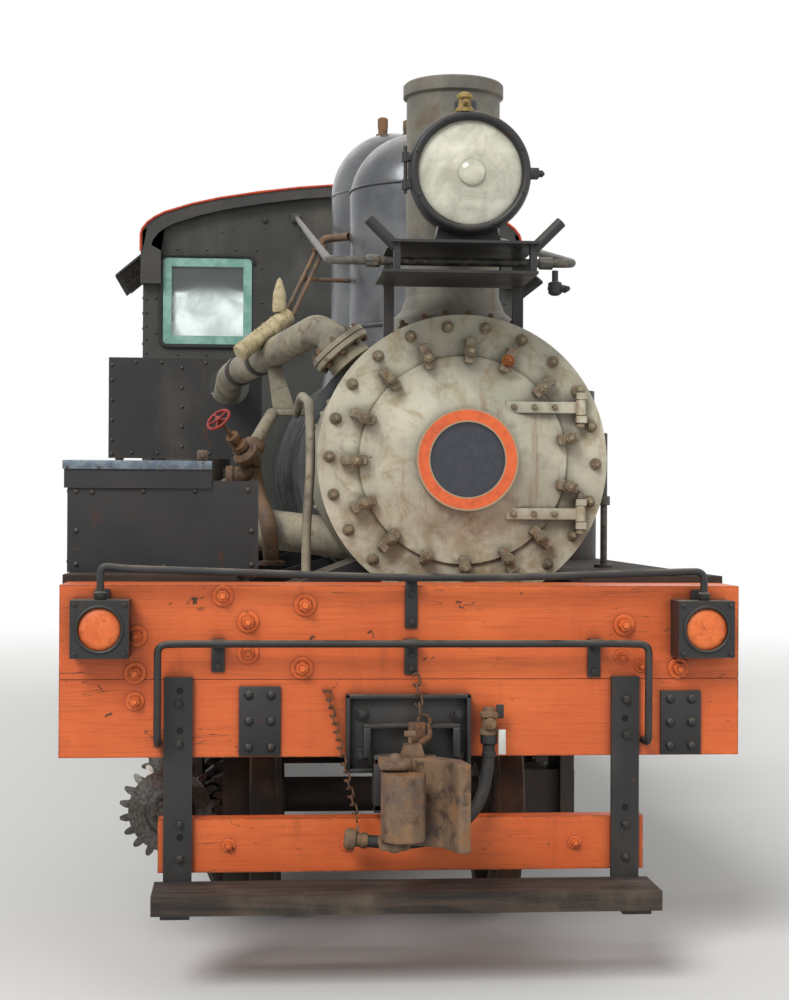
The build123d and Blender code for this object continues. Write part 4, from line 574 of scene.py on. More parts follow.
class Shape:
    """Mesh of one piece."""

    def __init__(self):
        self.mesh = bmesh.new()

    def row(self, points):
        return [self.mesh.verts.new(point) for point in points]

    def ring(self, place, radius, height, around, phase=0.0):
        if radius < 1e-6:
            return self.row([place @ Vector((0, 0, height))])
        turns = [phase + 2 * math.pi * n / around for n in range(around)]
        return self.row([place @ Vector((radius * math.cos(turn), radius * math.sin(turn), height))
                         for turn in turns])

    def sheet(self, low, high):
        """Faces between two open rows of points."""
        for n in range(len(low) - 1):
            self.mesh.faces.new((low[n], low[n + 1], high[n + 1], high[n]))

    def skin(self, low, high):
        """Faces between two closed rings, either of which may be a point."""
        count = max(len(low), len(high))
        for n in range(count):
            m = (n + 1) % count
            corners = [low[n % len(low)], low[m % len(low)], high[m % len(high)], high[n % len(high)]]
            unique = list(dict.fromkeys(corners))
            if len(unique) > 2:
                self.mesh.faces.new(unique)

    def flat(self, outline):
        bmesh.ops.triangulate(self.mesh, faces=[self.mesh.faces.new(outline)])

    def turned(self, at, way, outline, around=20, phase=0.0):
        """Solid of revolution; outline is (radius, height) from one end to the other."""
        place = placed(at, way)
        rings = [self.ring(place, radius, height, around, phase) for radius, height in outline]
        for low, high in zip(rings, rings[1:]):
            self.skin(low, high)
        for end in (rings[0], rings[-1]):
            if len(end) > 2:
                self.mesh.faces.new(end)

    def bar(self, start, end, radius, around=12):
        """Round bar with a small chamfer at both ends."""
        way = Vector(end) - Vector(start)
        length = way.length
        edge = min(radius * 0.15, length * 0.2)
        self.turned(start, way, [
            (radius - edge, 0), (radius, edge), (radius, length - edge), (radius - edge, length)], around)

    def slab(self, first, second, soft=0.0, turn=Matrix()):
        """Box between two corners, with softened edges."""
        low = Vector([min(pair) for pair in zip(first, second)])
        high = Vector([max(pair) for pair in zip(first, second)])
        place = Matrix.Translation((low + high) / 2) @ turn
        made = bmesh.ops.create_cube(self.mesh, size=1.0)
        for vert in made["verts"]:
            vert.co = place @ (vert.co * (high - low))
        if soft > 0:
            edges = list({edge for vert in made["verts"] for edge in vert.link_edges})
            bmesh.ops.bevel(
                self.mesh, geom=edges, offset=soft, segments=2, affect="EDGES", profile=0.5)

    def plate(self, outline, low, high):
        """Flat plate of a given X and Z outline between two places along Y."""
        rows = [self.row([(x, y, z) for x, z in outline]) for y in (low, high)]
        self.skin(*rows)
        for row in rows:
            self.flat(row)

    def shell(self, outer, inner, low, high):
        """Open sheet between an outer and an inner line, from one Y to another."""
        outer_low, outer_high, inner_low, inner_high = [
            self.row([(x, y, z) for x, z in line]) for line in (outer, inner) for y in (low, high)]
        self.sheet(outer_low, outer_high)
        self.sheet(inner_low, inner_high)
        for first, second in ((outer_low, inner_low), (outer_high, inner_high)):
            self.flat(first + second[::-1])
        for n in (0, -1):
            self.mesh.faces.new((outer_low[n], outer_high[n], inner_high[n], inner_low[n]))

    def hoop(self, at, way, radius, wire, around=32, small=8):
        """Ring of round wire."""
        place = placed(at, way)
        rings = []
        for n in range(around):
            turn = 2 * math.pi * n / around
            out = Vector((math.cos(turn), math.sin(turn), 0))
            rings.append(self.row([
                place @ (out * (radius + up) + Vector((0, 0, side)))
                for side, up in circle(small, wire)]))
        for n in range(around):
            self.skin(rings[n], rings[(n + 1) % around])

    def tube(self, points, radius, around=12, closed=False):
        """Bar of round section along a line of points."""
        points = [Vector(point) for point in points]
        count = len(points)
        side = None
        rings = []
        for n, point in enumerate(points):
            before = points[n - 1] if n > 0 or closed else point
            after = points[(n + 1) % count] if n < count - 1 or closed else point
            way = (after - before).normalized()
            if side is None:
                side = way.orthogonal().normalized()
            side = (side - way * side.dot(way)).normalized()
            other = way.cross(side)
            rings.append(self.row([
                point + side * up + other * across for across, up in circle(around, radius)]))
        for low, high in zip(rings, rings[1:]):
            self.skin(low, high)
        if not closed:
            self.mesh.faces.new(rings[0])
            self.mesh.faces.new(rings[-1])

    def bolt(self, at, way, size, washer=0.0, end=0.35):
        """Hexagon nut on its stud, on a round washer; size is the width over its flats."""
        at = Vector(at)
        way = Vector(way).normalized()
        lift = washer * 0.12
        if washer > 0:
            self.turned(at, way, [
                (washer / 2, 0), (washer / 2, lift * 0.7), (washer * 0.46, lift), (0, lift)], 20)
        phase = random.uniform(0, math.pi / 3)
        wide = size / math.sqrt(3)
        self.turned(at + way * lift, way, [
            (wide, 0), (wide, size * 0.50), (wide * 0.86, size * 0.62), (0, size * 0.62)], 6, phase)
        self.turned(at + way * (lift + size * 0.5), way, [
            (size * 0.28, 0), (size * 0.28, size * end), (size * 0.22, size * (end + 0.06)),
            (0, size * (end + 0.06))], 10)

    def rivet(self, at, way, radius):
        """Low round head."""
        self.turned(at, way, [
            (radius, 0), (radius * 0.92, radius * 0.35), (radius * 0.6, radius * 0.62),
            (0, radius * 0.74)], 8)

    def rivets(self, way, radius, across, along, up):
        """Rivets at every mix of the given X, Y and Z."""
        for x in across:
            for y in along:
                for z in up:
                    self.rivet((x, y, z), way, radius)

    def turned_about(self):
        """Adds the same parts at the rear end, by half a turn about the upright."""
        parts = self.mesh.verts[:] + self.mesh.edges[:] + self.mesh.faces[:]
        for item in bmesh.ops.duplicate(self.mesh, geom=parts)["geom"]:
            if isinstance(item, bmesh.types.BMVert):
                item.co.xy = -item.co.xy

    def done(self, name, finish, body="root", *nodes):
        """The finished object, riding on a body, in place of any nodes it replaces."""
        bmesh.ops.recalc_face_normals(self.mesh, faces=self.mesh.faces)
        for face in self.mesh.faces:
            face.smooth = True
        for edge in self.mesh.edges:
            if len(edge.link_faces) == 2 and edge.calc_face_angle(0.0) > SHARP:
                edge.smooth = False
        data = bpy.data.meshes.new(name)
        self.mesh.to_mesh(data)
        self.mesh.free()
        return add_piece(name, data, finish, body, *nodes)


def add_piece(name, data, finish, body, *nodes):
    piece = bpy.data.objects.new(name, data)
    bpy.context.scene.collection.objects.link(piece)
    material, slot = FINISHES[finish]
    data.materials.append(material)
    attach(piece, body)
    if nodes:
        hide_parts(*nodes)
    return piece


def smooth_line(corners, parts=7, reach=None):
    """Line through corners, each corner but the ends rounded by a short arc."""
    corners = [Vector(corner) for corner in corners]
    line = [corners[0]]
    for before, corner, after in zip(corners, corners[1:], corners[2:]):
        size = reach or 0.42 * min((corner - before).length, (after - corner).length)
        start = corner + (before - corner).normalized() * size
        end = corner + (after - corner).normalized() * size
        for n in range(parts + 1):
            t = n / parts
            line.append(start * (1 - t) ** 2 + corner * 2 * t * (1 - t) + end * t ** 2)
    line.append(corners[-1])
    return line


def both_ends(x, y, z):
    """A place at the front, and the same at the rear by half a turn."""
    return ((x, y, z), FORWARD), ((-x, -y, z), (0, 1, 0))


# Bolts of the end beams: X, Z and the sizes of washer and nut
BEAM_BOLTS = (
    (-0.646, 1.367, 0.076, 0.040), (-0.556, 1.275, 0.078, 0.042), (-0.556, 1.165, 0.078, 0.042),
    (-0.948, 1.225, 0.074, 0.036), (-0.953, 1.094, 0.078, 0.040), (-0.953, 0.995, 0.066, 0.036),
    (-0.354, 1.335, 0.080, 0.044), (-0.364, 1.111, 0.080, 0.044), (0.797, 1.264, 0.078, 0.042),
    (0.996, 1.108, 0.076, 0.040), (0.787, 1.149, 0.050, 0.028), (0.860, 1.116, 0.046, 0.026),
    (-0.62, 0.482, 0.048, 0.026), (-0.20, 0.482, 0.048, 0.026), (0.62, 0.482, 0.048, 0.026))


def make_beam_bolts():
    shape = Shape()
    for x, z, washer, nut in BEAM_BOLTS:
        for at, way in both_ends(x, BEAM_FACE, z):
            shape.bolt(at, way, nut, washer)
    shape.done("beam_bolts", "painted_bolt")


# Straps and plates on the beams: X, Z and size of their bolts, their holes (drawn as near-black discs of
# painted shade), and the plates' edges
STRAP_FACE = FRONT - 0.0204
STRAP_BOLTS = (
    (-0.798, 0.987, 0.026), (-0.797, 0.846, 0.026), (-0.793, 0.560, 0.024), (-0.792, 0.440, 0.024),
    (0.802, 0.996, 0.026), (0.803, 0.870, 0.026), (0.801, 0.548, 0.024), (0.800, 0.432, 0.024))
STRAP_HOLES = ((-0.795, 1.033), (-0.794, 0.892), (-0.792, 0.516), (0.798, 0.930), (0.800, 0.610))
BRACKET_BOLTS = (
    (-0.661, 1.118), (-0.661, 1.184), (0.687, 1.098), (0.687, 1.178), (0.025, 1.110), (0.025, 1.158),
    (0.025, 1.276), (0.025, 1.376))
POCKET_BOLTS = ((-0.151, 0.950), (0.192, 0.945), (-0.153, 0.800), (0.192, 0.800))
PLATES = ((-0.586, -0.439, 0.800, 1.046), (0.931, 1.078, 0.798, 1.028))


def make_strap_bolts():
    shape = Shape()
    for x, z, nut in STRAP_BOLTS:
        for at, way in both_ends(x, STRAP_FACE, z):
            shape.bolt(at, way, nut, 0.0, 0.25)
    for x0, x1, z0, z1 in PLATES:
        levels = (z0 + 0.030, (z0 + z1) / 2, z1 - 0.030)
        shape.rivets(FORWARD, 0.017, (x0 + 0.034, x1 - 0.034), (FRONT - 0.0124,), levels)
    for x, z in BRACKET_BOLTS:
        shape.bolt((x, FRONT - 0.0104, z), FORWARD, 0.020, 0.0, 0.2)
    for x, z in POCKET_BOLTS:
        shape.bolt((x, FRONT - 0.0224, z), FORWARD, 0.030, 0.052)
    shape.done("black_bolts", "black_iron")
    # The strap holes are drawn as thin near-black discs on the strap face: painted shade.
    holes = Shape()
    for x, z in STRAP_HOLES:
        holes.turned((x, FRONT - 0.0200, z), FORWARD, [(0.0125, 0), (0.0125, 0.0009), (0, 0.0009)], 16)
    holes.done("strap_hole_shades", "painted_hole_shade")


def make_ring_bolts():
    """Bolts round the smokebox ring."""
    shape = Shape()
    for across, up in circle(22, 0.517, -6.9, 22 * 16.36):
        shape.bolt((BOILER_X + across, RING_FACE - PROUD, BOILER_Z + up), FORWARD, 0.030, 0.046, 0.45)
    shape.done("ring_bolts", "dirty_bolt")


# Clamps of the door, in degrees from the top, and its hinges
CLAMPS = (2.9, 23.6, 47.2, 78.0, 103.8, 134.7, 156.0, 179.6, 201.2, 222.8, 246.0, 269.5, 292.8, 317.0,
          339.8)
RUSTY_CLAMP = 23.6
SHORT_CLAMP = 201.2
NUT_REACH = 0.415
SHORT_REACH = 0.400
HINGE_X = BOILER_X + 0.452
HINGE_Y = RING_FACE - 0.034
HINGE_LEVELS = (BOILER_Z + 0.205, BOILER_Z - 0.205)


def make_clamp_nuts():
    shape = Shape()
    rusty = Shape()
    for degrees in CLAMPS:
        across, up = from_top(degrees, SHORT_REACH if degrees == SHORT_CLAMP else NUT_REACH)
        kind = rusty if degrees == RUSTY_CLAMP else shape
        kind.bolt((BOILER_X + across, RING_FACE - 0.0582, BOILER_Z + up), FORWARD, 0.034, 0.050, 0.45)
    shape.done("clamp_nuts", "dirty_bolt", "smokebox_door")
    rusty.done("clamp_nut_rusty", "orange_rust", "smokebox_door")
    hinges = Shape()
    for z in HINGE_LEVELS:
        hinges.turned((HINGE_X, HINGE_Y, z - 0.075), UP, [(0.016, 0), (0.016, 0.012), (0, 0.012)], 12)
        hinges.bolt((HINGE_X, HINGE_Y, z + 0.062), UP, 0.026, 0.034, 0.3)
        for x in (0.19, 0.27, 0.35):
            hinges.bolt((BOILER_X + x, HINGE_Y - 0.0102, z), FORWARD, 0.020, 0.0, 0.2)
    hinges.done("hinge_bolts", "dirty_bolt")


def make_smokebox_rivets():
    shape = Shape()
    for distance in (0.560, 1.690):
        for across, up in circle(56, 1.0):
            way = Vector((across, 0, up))
            if up >= -0.72:
                middle = Vector((BOILER_X, back(distance), BOILER_Z))
                shape.rivet(middle + way * (SMOKEBOX_RADIUS - PROUD), way, 0.013)
    shape.done("smokebox_rivets", "smokebox_grey")


def make_jacket_bands():
    """Thin bands round the boiler's jacket, and seams round the domes."""
    shape = Shape()
    for distance in (1.790, 2.760, 3.400, 4.290, 4.980, 5.900):
        radius, z = (0.600, BOILER_Z) if distance < 4.35 else (0.650, BOILER_Z + 0.050)
        rows = []
        for y, grow in ((-0.028, NEAR), (-0.028, 0.004), (0.028, 0.004), (0.028, NEAR)):
            arc = circle(73, radius + grow, -118, 236 * 73 / 72)
            rows.append(shape.row([(BOILER_X + across, back(distance) + y, z + up) for across, up in arc]))
        for low, high in zip(rows, rows[1:]):
            shape.sheet(low, high)
    shape.done("jacket_bands", "jacket")
    seams = Shape()
    for y, z, radius, wire in ((DOME_FRONT, 3.236, 0.3385, 0.006), (DOME_REAR, 3.470, 0.3605, 0.006),
                               (DOME_FRONT, 2.560, 0.339, 0.012), (DOME_REAR, 2.560, 0.361, 0.012)):
        seams.hoop((BOILER_X, y, z), UP, radius, wire, 48, 6)
    seams.done("dome_seams", "jacket")


LAMP_RIM = 0.215


def lamp(x, y, z):
    """Place measured from the middle of the headlight's face."""
    return LAMP_X + x, LAMP_Y - 0.0222 + y, LAMP_Z + z


def make_lamp_fittings():
    """Rim, hinge, lug, vent and glass boss of the headlight."""
    rim = Shape()
    rim.hoop(lamp(0, 0.004, 0), FORWARD, LAMP_RIM, 0.017, 72, 10)
    rim.hoop(lamp(0, 0.030, 0), FORWARD, 0.226, 0.010, 72, 8)
    for across, up in circle(8, LAMP_RIM, 20):
        rim.bolt(lamp(across, -0.012, up), FORWARD, 0.012, 0.0, 0.1)
    rim.slab(lamp(0.226, -0.004, -0.020), lamp(0.262, 0.034, 0.020), 0.004)
    rim.bolt(lamp(0.262, 0.015, 0), (1, 0, 0), 0.026, 0.0, 0.3)
    for z in (0.052, -0.052):
        rim.turned(lamp(-0.246, 0.012, z - 0.018), UP, [(0.014, 0), (0.014, 0.036), (0, 0.036)], 14)
        rim.slab(lamp(-0.246, 0, z - 0.014), lamp(-0.212, 0.026, z + 0.014), 0.003)
    rim.bar(lamp(-0.246, 0.012, -0.085), lamp(-0.246, 0.012, 0.095), 0.007)
    rim.done("lamp_rim", "black_iron")
    top = Shape()
    top.turned(lamp(-0.020, 0.0272, 0.228), UP, [
        (0.040, 0), (0.040, 0.010), (0.026, 0.020), (0.022, 0.048), (0.030, 0.056), (0.030, 0.068),
        (0.012, 0.078), (0, 0.078)])
    top.bolt(lamp(-0.020, 0.0022, 0.262), FORWARD, 0.022, 0.0, 0.4)
    top.done("lamp_top_fitting", "yellow_rust")
    boss = Shape()
    boss.turned(lamp(0.004, -0.0113, -0.004), FORWARD, [
        (0.050, 0), (0.049, 0.006), (0.040, 0.013), (0.022, 0.018), (0, 0.020)], 32)
    boss.done("lamp_glass_boss", "clear_boss")


MARKER_X = 1.069
MARKER_Z = 1.256


def make_marker_discs():
    shape = Shape()
    rims = Shape()
    for middle in (-MARKER_X, MARKER_X):
        shape.turned((middle, FRONT - 0.1216, MARKER_Z), FORWARD, [
            (0.0750, -0.018), (0.0752, 0.0), (0.0705, 0.0045), (0.045, 0.0075), (0, 0.009)], 40)
        rims.hoop((middle, FRONT - 0.1306, MARKER_Z), FORWARD, 0.080, 0.006, 40, 8)
        for x in (-0.086, 0.086):
            for z in (-0.086, 0.086):
                rims.bolt((middle + x, FRONT - 0.1302, MARKER_Z + z), FORWARD, 0.014, 0.0, 0.15)
    shape.done("marker_discs", "orange_disc")
    rims.done("marker_rims", "black_iron")


def make_toolbox_trim():
    """Rivets of the toolbox, and its lid's strip and latch."""
    shape = Shape()
    for x, z in ((-1.217, 1.741), (-1.156, 1.738), (-0.962, 1.743), (-0.763, 1.744), (-0.560, 1.749),
                 (-1.216, 1.588), (-1.216, 1.460), (-0.545, 1.590), (-0.545, 1.460), (-0.880, 1.452)):
        shape.rivet((x, TOOLBOX_FACE - PROUD, z), FORWARD, 0.011)
    places = [back(distance) for distance in (0.62, 0.80, 1.00, 1.19)]
    shape.rivets((-1, 0, 0), 0.011, (TOOLBOX_SIDE - PROUD,), places, (1.47, 1.74))
    shape.done("toolbox_rivets", "worn_iron")
    strip = Shape()
    strip.slab((-1.268, TOOLBOX_FACE - 0.020, 1.826), (-0.698, TOOLBOX_FACE - 0.0125, 1.860), 0.002)
    strip.done("lid_strip", "bright_edge", "toolbox_lid")
    latch = Shape()
    latch.slab((-0.756, TOOLBOX_FACE - 0.004, 1.862), (-0.716, TOOLBOX_FACE + 0.040, 1.902), 0.006)
    latch.bolt((-0.736, TOOLBOX_FACE - 0.004, 1.884), FORWARD, 0.020, 0.0, 0.2)
    latch.done("lid_latch", "rusty_iron", "toolbox_lid")


def make_shield_rivets():
    shape = Shape()
    face = (SHIELD_FACE - PROUD,)
    shape.rivets(FORWARD, 0.010, (-1.247,), face, (2.397, 2.320, 2.220, 2.120, 2.020, 1.950))
    shape.rivets(FORWARD, 0.010, (-0.898,), face, (2.385, 2.285, 2.190, 2.090, 1.990))
    shape.rivets(FORWARD, 0.009, (-1.15, -1.02, -0.76, -0.64, -0.55), face, (1.955,))
    shape.rivets(FORWARD, 0.009, (-1.13, -1.0, -0.78), face, (2.412,))
    shape.done("shield_rivets", "worn_iron")


def arch(half, crown):
    """A whole arch from its right half, listed from the eave, and its crown's height."""
    return [(-x, z) for x, z in half] + [(0.0, crown)] + list(reversed(half))


ROOF_LINE = arch((
    (1.3090, 3.440), (1.3085, 3.556), (1.297, 3.592), (1.262, 3.636), (1.215, 3.671), (1.149, 3.706),
    (0.960, 3.766), (0.773, 3.810), (0.500, 3.856), (0.222, 3.892)), 3.911)
UNDER_LINE = arch((
    (1.2957, 3.440), (1.2957, 3.5708), (1.264, 3.5974), (0.950, 3.7204), (0.600, 3.8154),
    (0.300, 3.8644)), 3.8814)
ROOF_Y0 = CAB_Y - 0.072
ROOF_Y1 = CAB_REAR + 0.072


def make_cab_trim():
    """Rivets, window gaskets, roof edge and awning slats."""
    rivets = Shape()
    gasket = Shape()
    slats = Shape()
    face = (CAB_Y - PROUD,)
    low, high, bend = 2.792, 3.416, 0.05
    for side in (-1, 1):
        rivets.rivets(FORWARD, 0.011, (side * 1.270,), face, steps(1.55, 0.092, 18))
        rivets.rivets(FORWARD, 0.010, (side * 1.205,), face, (2.62, 2.88, 3.12, 3.36))
        places = [side * x for x in (0.52, 0.66, 0.86, 1.06)]
        rivets.rivets(FORWARD, 0.010, places, face, (3.462, 2.736))
        rivets.rivets(FORWARD, 0.010, (side * 0.484,), face, (2.84, 3.10, 3.34))
        wall = (side * (CAB_SIDE + PROUD),)
        rivets.rivets((side, 0, 0), 0.010, wall, (CAB_Y + 0.030, CAB_Y + 1.925), steps(1.55, 0.105, 18))
        rivets.rivets((side, 0, 0), 0.010, wall, steps(CAB_Y + 0.12, 0.13, 9), (1.475, 2.515))
        left, right = sorted((side * 0.535, side * 1.174))
        line = []
        for x, z, start in ((right - bend, high - bend, 90), (left + bend, high - bend, 0),
                            (left + bend, low + bend, -90), (right - bend, low + bend, -180)):
            line += [(x + across, CAB_Y - 0.012, z + up) for across, up in circle(5, bend, start, -112.5)]
        gasket.tube(line, 0.014, 8, closed=True)
        turn = Matrix.Rotation(side * math.radians(40), 4, "Y")
        for y in steps(CAB_Y + 0.10, 0.094, 12):
            slats.slab((side * 1.292, y, 3.352), (side * 1.480, y + 0.070, 3.362), 0.002, turn)
    for x, z in ((-0.758, 3.584), (-0.689, 3.599), (-0.566, 3.684), (-0.463, 3.617), (-0.214, 3.608),
                 (-0.214, 3.566)):
        rivets.rivet((x, face[0], z), FORWARD, 0.008)
    rivets.bolt((-0.463, face[0], 3.672), FORWARD, 0.030, 0.050, 0.1)
    rivets.done("cab_rivets", "cab_dark")
    gasket.done("window_gaskets", "gasket")
    edge = Shape()
    for y in (ROOF_Y0 - 0.003, ROOF_Y1 + 0.003):
        edge.tube([(x, y, z - 0.004) for x, z in ROOF_LINE], 0.0085, 6)
    edge.done("roof_edge", "roof_edge")
    slats.done("awning_slats", "old_wood")


def make_wheel(shape, at, way, radius, wire):
    """Spoked handwheel."""
    shape.hoop(at, way, radius, wire)
    place = placed(at, way)
    for up, across in circle(5, radius):
        shape.bar(place @ Vector(), place @ Vector((across, up, 0)), wire * 0.8, 8)
    shape.turned(at, way, [(wire * 2.2, -wire * 1.3), (wire * 2.2, wire * 1.3), (0, wire * 1.6)], 12)


def make_left_pipes():
    """Steam valve, strut, elbow and pipes beside the smokebox."""
    rusty = Shape()
    wheel_at = Vector((-0.690, back(1.400), 2.062))
    gland = Vector((-0.575, back(1.520), 1.925))
    way = (wheel_at - gland).normalized()
    rusty.bar(gland, wheel_at, 0.010, 10)
    rusty.turned(gland + way * 0.030, way, [
        (0.036, 0), (0.036, 0.024), (0.022, 0.034), (0.022, 0.060), (0.030, 0.062), (0.030, 0.080),
        (0, 0.084)], 14)
    for reach in (-0.030, 0.030):
        side = way.orthogonal().normalized() * reach
        rusty.bar(gland + side + way * 0.01, gland + side + way * 0.10, 0.006, 8)
    rusty.turned(gland - way * 0.050, way, [
        (0.020, 0), (0.052, 0.012), (0.060, 0.030), (0.060, 0.052), (0.044, 0.070), (0, 0.072)])
    strut_low = Vector((-0.530, back(1.640), 1.975))
    strut_high = Vector((-0.452, back(1.990), 2.120))
    union = Vector((-0.548, back(1.620), 1.900))
    rusty.turned(strut_low + Vector((0, 0, 0.01)), union - strut_low, [
        (0.040, 0), (0.050, 0.014), (0.050, 0.045), (0.042, 0.055), (0.042, 0.085), (0.052, 0.090),
        (0.052, 0.125), (0.036, 0.135), (0, 0.135)], 16)
    rusty.tube(smooth_line([
        union + Vector((-0.004, 0, -0.02)), (-0.566, back(1.600), 1.835), (-0.640, back(1.600), 1.815)],
        8), 0.040, 14)
    rusty.turned((-0.630, back(1.600), 1.817), (-1, 0, 0), [(0.050, 0), (0.050, 0.030), (0, 0.030)], 16)
    foot = (-0.455, back(1.50), DECK_TOP + NEAR)
    rusty.tube(smooth_line([
        union, (-0.520, back(1.60), 1.74), (-0.470, back(1.50), 1.62), foot], 8), 0.036, 14)
    rusty.turned(foot, UP, [(0.060, 0), (0.060, 0.016), (0.036, 0.022)], 18)
    rusty.done("left_valve", "rusty_iron")

    red = Shape()
    make_wheel(red, wheel_at, way, 0.054, 0.0065)
    red.done("left_handwheel", "red_paint")

    pale = Shape()
    pale.bar(strut_low, strut_high, 0.030, 14)
    pale.tube(smooth_line([
        (-0.340, back(1.960), 2.118), (-0.330, back(1.5), 2.18), (-0.318, back(0.760), 2.10),
        (-0.312, back(0.700), 1.86), (-0.330, back(0.700), 1.60), (-0.330, back(0.700), DECK_TOP + NEAR)],
        8), 0.019)
    pale.done("pale_pipes", "pipe_grey")

    lagged = Shape()
    low = Vector((-0.606, back(1.900), 2.393))
    high = Vector((-0.375, back(2.050), 2.590))
    lagged.bar(low, high, 0.042, 16)
    for share in steps(0.10, 0.16, 6):
        lagged.hoop(low.lerp(high, share), high - low, 0.041, 0.0045, 20, 6)
    lagged.turned((-0.420, back(2.030), 2.600), UP, [
        (0.030, 0), (0.034, 0.020), (0.030, 0.090), (0.012, 0.150), (0, 0.165)], 14)
    lagged.done("lagged_pipe", "lagging")

    thin = Shape()
    top = Vector((-0.217, back(2.500), 2.955))
    for side in (Vector((-0.018, 0, 0)), Vector((0.018, 0, 0))):
        thin.bar(high + side, top + side, 0.011, 10)
    thin.tube(smooth_line([
        top, (-0.200, back(2.52), 3.02), (-0.120, back(2.52), 3.03), (-0.071, back(2.48), 3.03)],
        6), 0.020)
    thin.bolt(top, (0.2, 0, 1), 0.060, 0.0, 0.2)
    thin.bar((-0.285, back(2.400), 2.806), (-0.073, back(2.400), 2.800), 0.011, 10)
    thin.bar((-0.285, back(2.380), 2.806), (-0.300, back(2.380), 2.806), 0.018, 10)
    thin.done("thin_rods", "rusty_iron")


STEAM_START = Vector((-0.110, back(1.500), 2.325))
STEAM_BEND = Vector((-0.240, back(1.520), 2.483))
STEAM_WAY = (STEAM_BEND - STEAM_START).normalized()


def make_steam_flange_bolts():
    """Bolts through the steam pipe's flanges, and bands round its long run."""
    shape = Shape()
    side = STEAM_WAY.orthogonal().normalized()
    other = STEAM_WAY.cross(side)
    for across, up in circle(8, 0.112):
        at = STEAM_START + side * up + other * across
        shape.bolt(at + STEAM_WAY * 0.1042, STEAM_WAY, 0.026, 0.0, 0.5)
        shape.bolt(at + STEAM_WAY * 0.0528, -STEAM_WAY, 0.026, 0.0, 0.2)
    shape.done("flange_bolts", "rusty_iron")
    band = Shape()
    low = Vector((-0.640, back(2.420), 2.333))
    run = (Vector((-0.650, back(2.450), 2.330)) - STEAM_BEND).normalized()
    for step in (-0.34, -0.10):
        band.turned(low + run * step, run, [
            (0.0682, 0), (0.0735, 0.002), (0.0735, 0.030), (0.0682, 0.032)], 28)
    band.done("steam_bands", "worn_iron")


def make_dome_valves():
    """Safety valves on the rear dome."""
    shape = Shape()
    for x, y in ((-0.070, -0.02), (0.080, 0.03)):
        shape.turned((BOILER_X + x, DOME_REAR + y, 3.812), UP, [
            (0.040, 0), (0.040, 0.020), (0.026, 0.028), (0.030, 0.070), (0.030, 0.110), (0.020, 0.118),
            (0, 0.118)], 16)
    shape.done("safety_valves", "rusty_iron")


COILS = 4.5
COIL_POINTS = 90
COIL_RADIUS = 0.037
COIL_FOOT = 0.4075
COIL_HEIGHT = 0.1535


def make_truck_springs():
    """Coil springs under the bolsters."""
    for place, middle in TRUCKS:
        shape = Shape()
        for x in (-0.742, 0.742):
            for y in (-0.095, 0.095):
                line = []
                for n in range(COIL_POINTS + 1):
                    share = n / COIL_POINTS
                    side, ahead = from_top(360 * COILS * share, COIL_RADIUS)
                    line.append((x + ahead, middle + y + side, COIL_FOOT + COIL_HEIGHT * share))
                shape.tube(line, 0.0098, 8)
        shape.done("coil_springs_" + place, "black_iron", "truck_" + place, "truck_springs_" + place)


def make_engine_trim():
    """Nuts of the cylinders, valve chests with their rods, and a cock on each head."""
    bolts = Shape()
    chests = Shape()
    for y in steps(back(3.700), 0.430, 3):
        for high, low in zip(circle(12, 0.172), circle(12, 0.190, math.degrees(0.2))):
            bolts.bolt((SHAFT_X + high[0], y + high[1], 2.2905), UP, 0.024, 0.0, 0.4)
            bolts.bolt((SHAFT_X + low[0], y + low[1], 1.6995), DOWN, 0.020, 0.0, 0.3)
        chests.slab((SHAFT_X - 0.235, y - 0.085, 1.800), (SHAFT_X - 0.168, y + 0.085, 2.190), 0.008)
        chests.slab((SHAFT_X - 0.250, y - 0.098, 1.800), (SHAFT_X - 0.232, y + 0.098, 2.190), 0.004)
        for z in (1.83, 1.92, 2.01, 2.10, 2.165):
            for out in (-0.082, 0.082):
                bolts.bolt((SHAFT_X - 0.250 - PROUD, y + out, z), (-1, 0, 0), 0.018, 0.0, 0.3)
        chests.turned((SHAFT_X - 0.205, y, 1.802), DOWN, [
            (0.030, 0), (0.030, 0.045), (0.016, 0.060), (0.012, 0.420), (0, 0.420)], 14)
        chests.turned((SHAFT_X, y, 2.3295), UP, [
            (0.030, 0), (0.030, 0.030), (0.016, 0.042), (0.016, 0.075), (0.024, 0.080), (0.024, 0.100),
            (0, 0.104)], 14)
    bolts.done("engine_nuts", "worn_iron")
    chests.done("valve_chests", "black_iron")


def make_bunker_rivets():
    shape = Shape()
    for side in (-1, 1):
        face = (side * (BUNKER_SIDE + PROUD),)
        way = (side, 0, 0)
        shape.rivets(way, 0.010, face, steps(back(8.085), 0.0965, 24), (1.33, 1.80, 2.27, 2.70))
        seams = [back(distance) for distance in (8.085, 9.20, 10.30)]
        shape.rivets(way, 0.010, face, seams, steps(1.38, 0.105, 13))
    shape.rivets((0, 1, 0), 0.010, steps(-1.05, 0.105, 21), (BUNKER_END + PROUD,), (1.33, 2.70))
    for across, up in circle(12, 0.27):
        shape.rivet((across, HATCH_Y + up, BUNKER_TOP + PROUD), UP, 0.010)
    shape.done("bunker_rivets", "black_iron")


# Air hose at the front beam: a cord on its real route
HOSE_RADIUS = 0.022
HOSE_POINTS = [(0.300, FRONT - 0.060, 0.8797), (0.300, FRONT - 0.060, 0.700),
               (0.215, FRONT - 0.096, 0.565), (0.040, FRONT - 0.116, 0.495),
               (-0.135, FRONT - 0.113, 0.515)]
VALVE_X, VALVE_Y = HOSE_POINTS[0][:2]


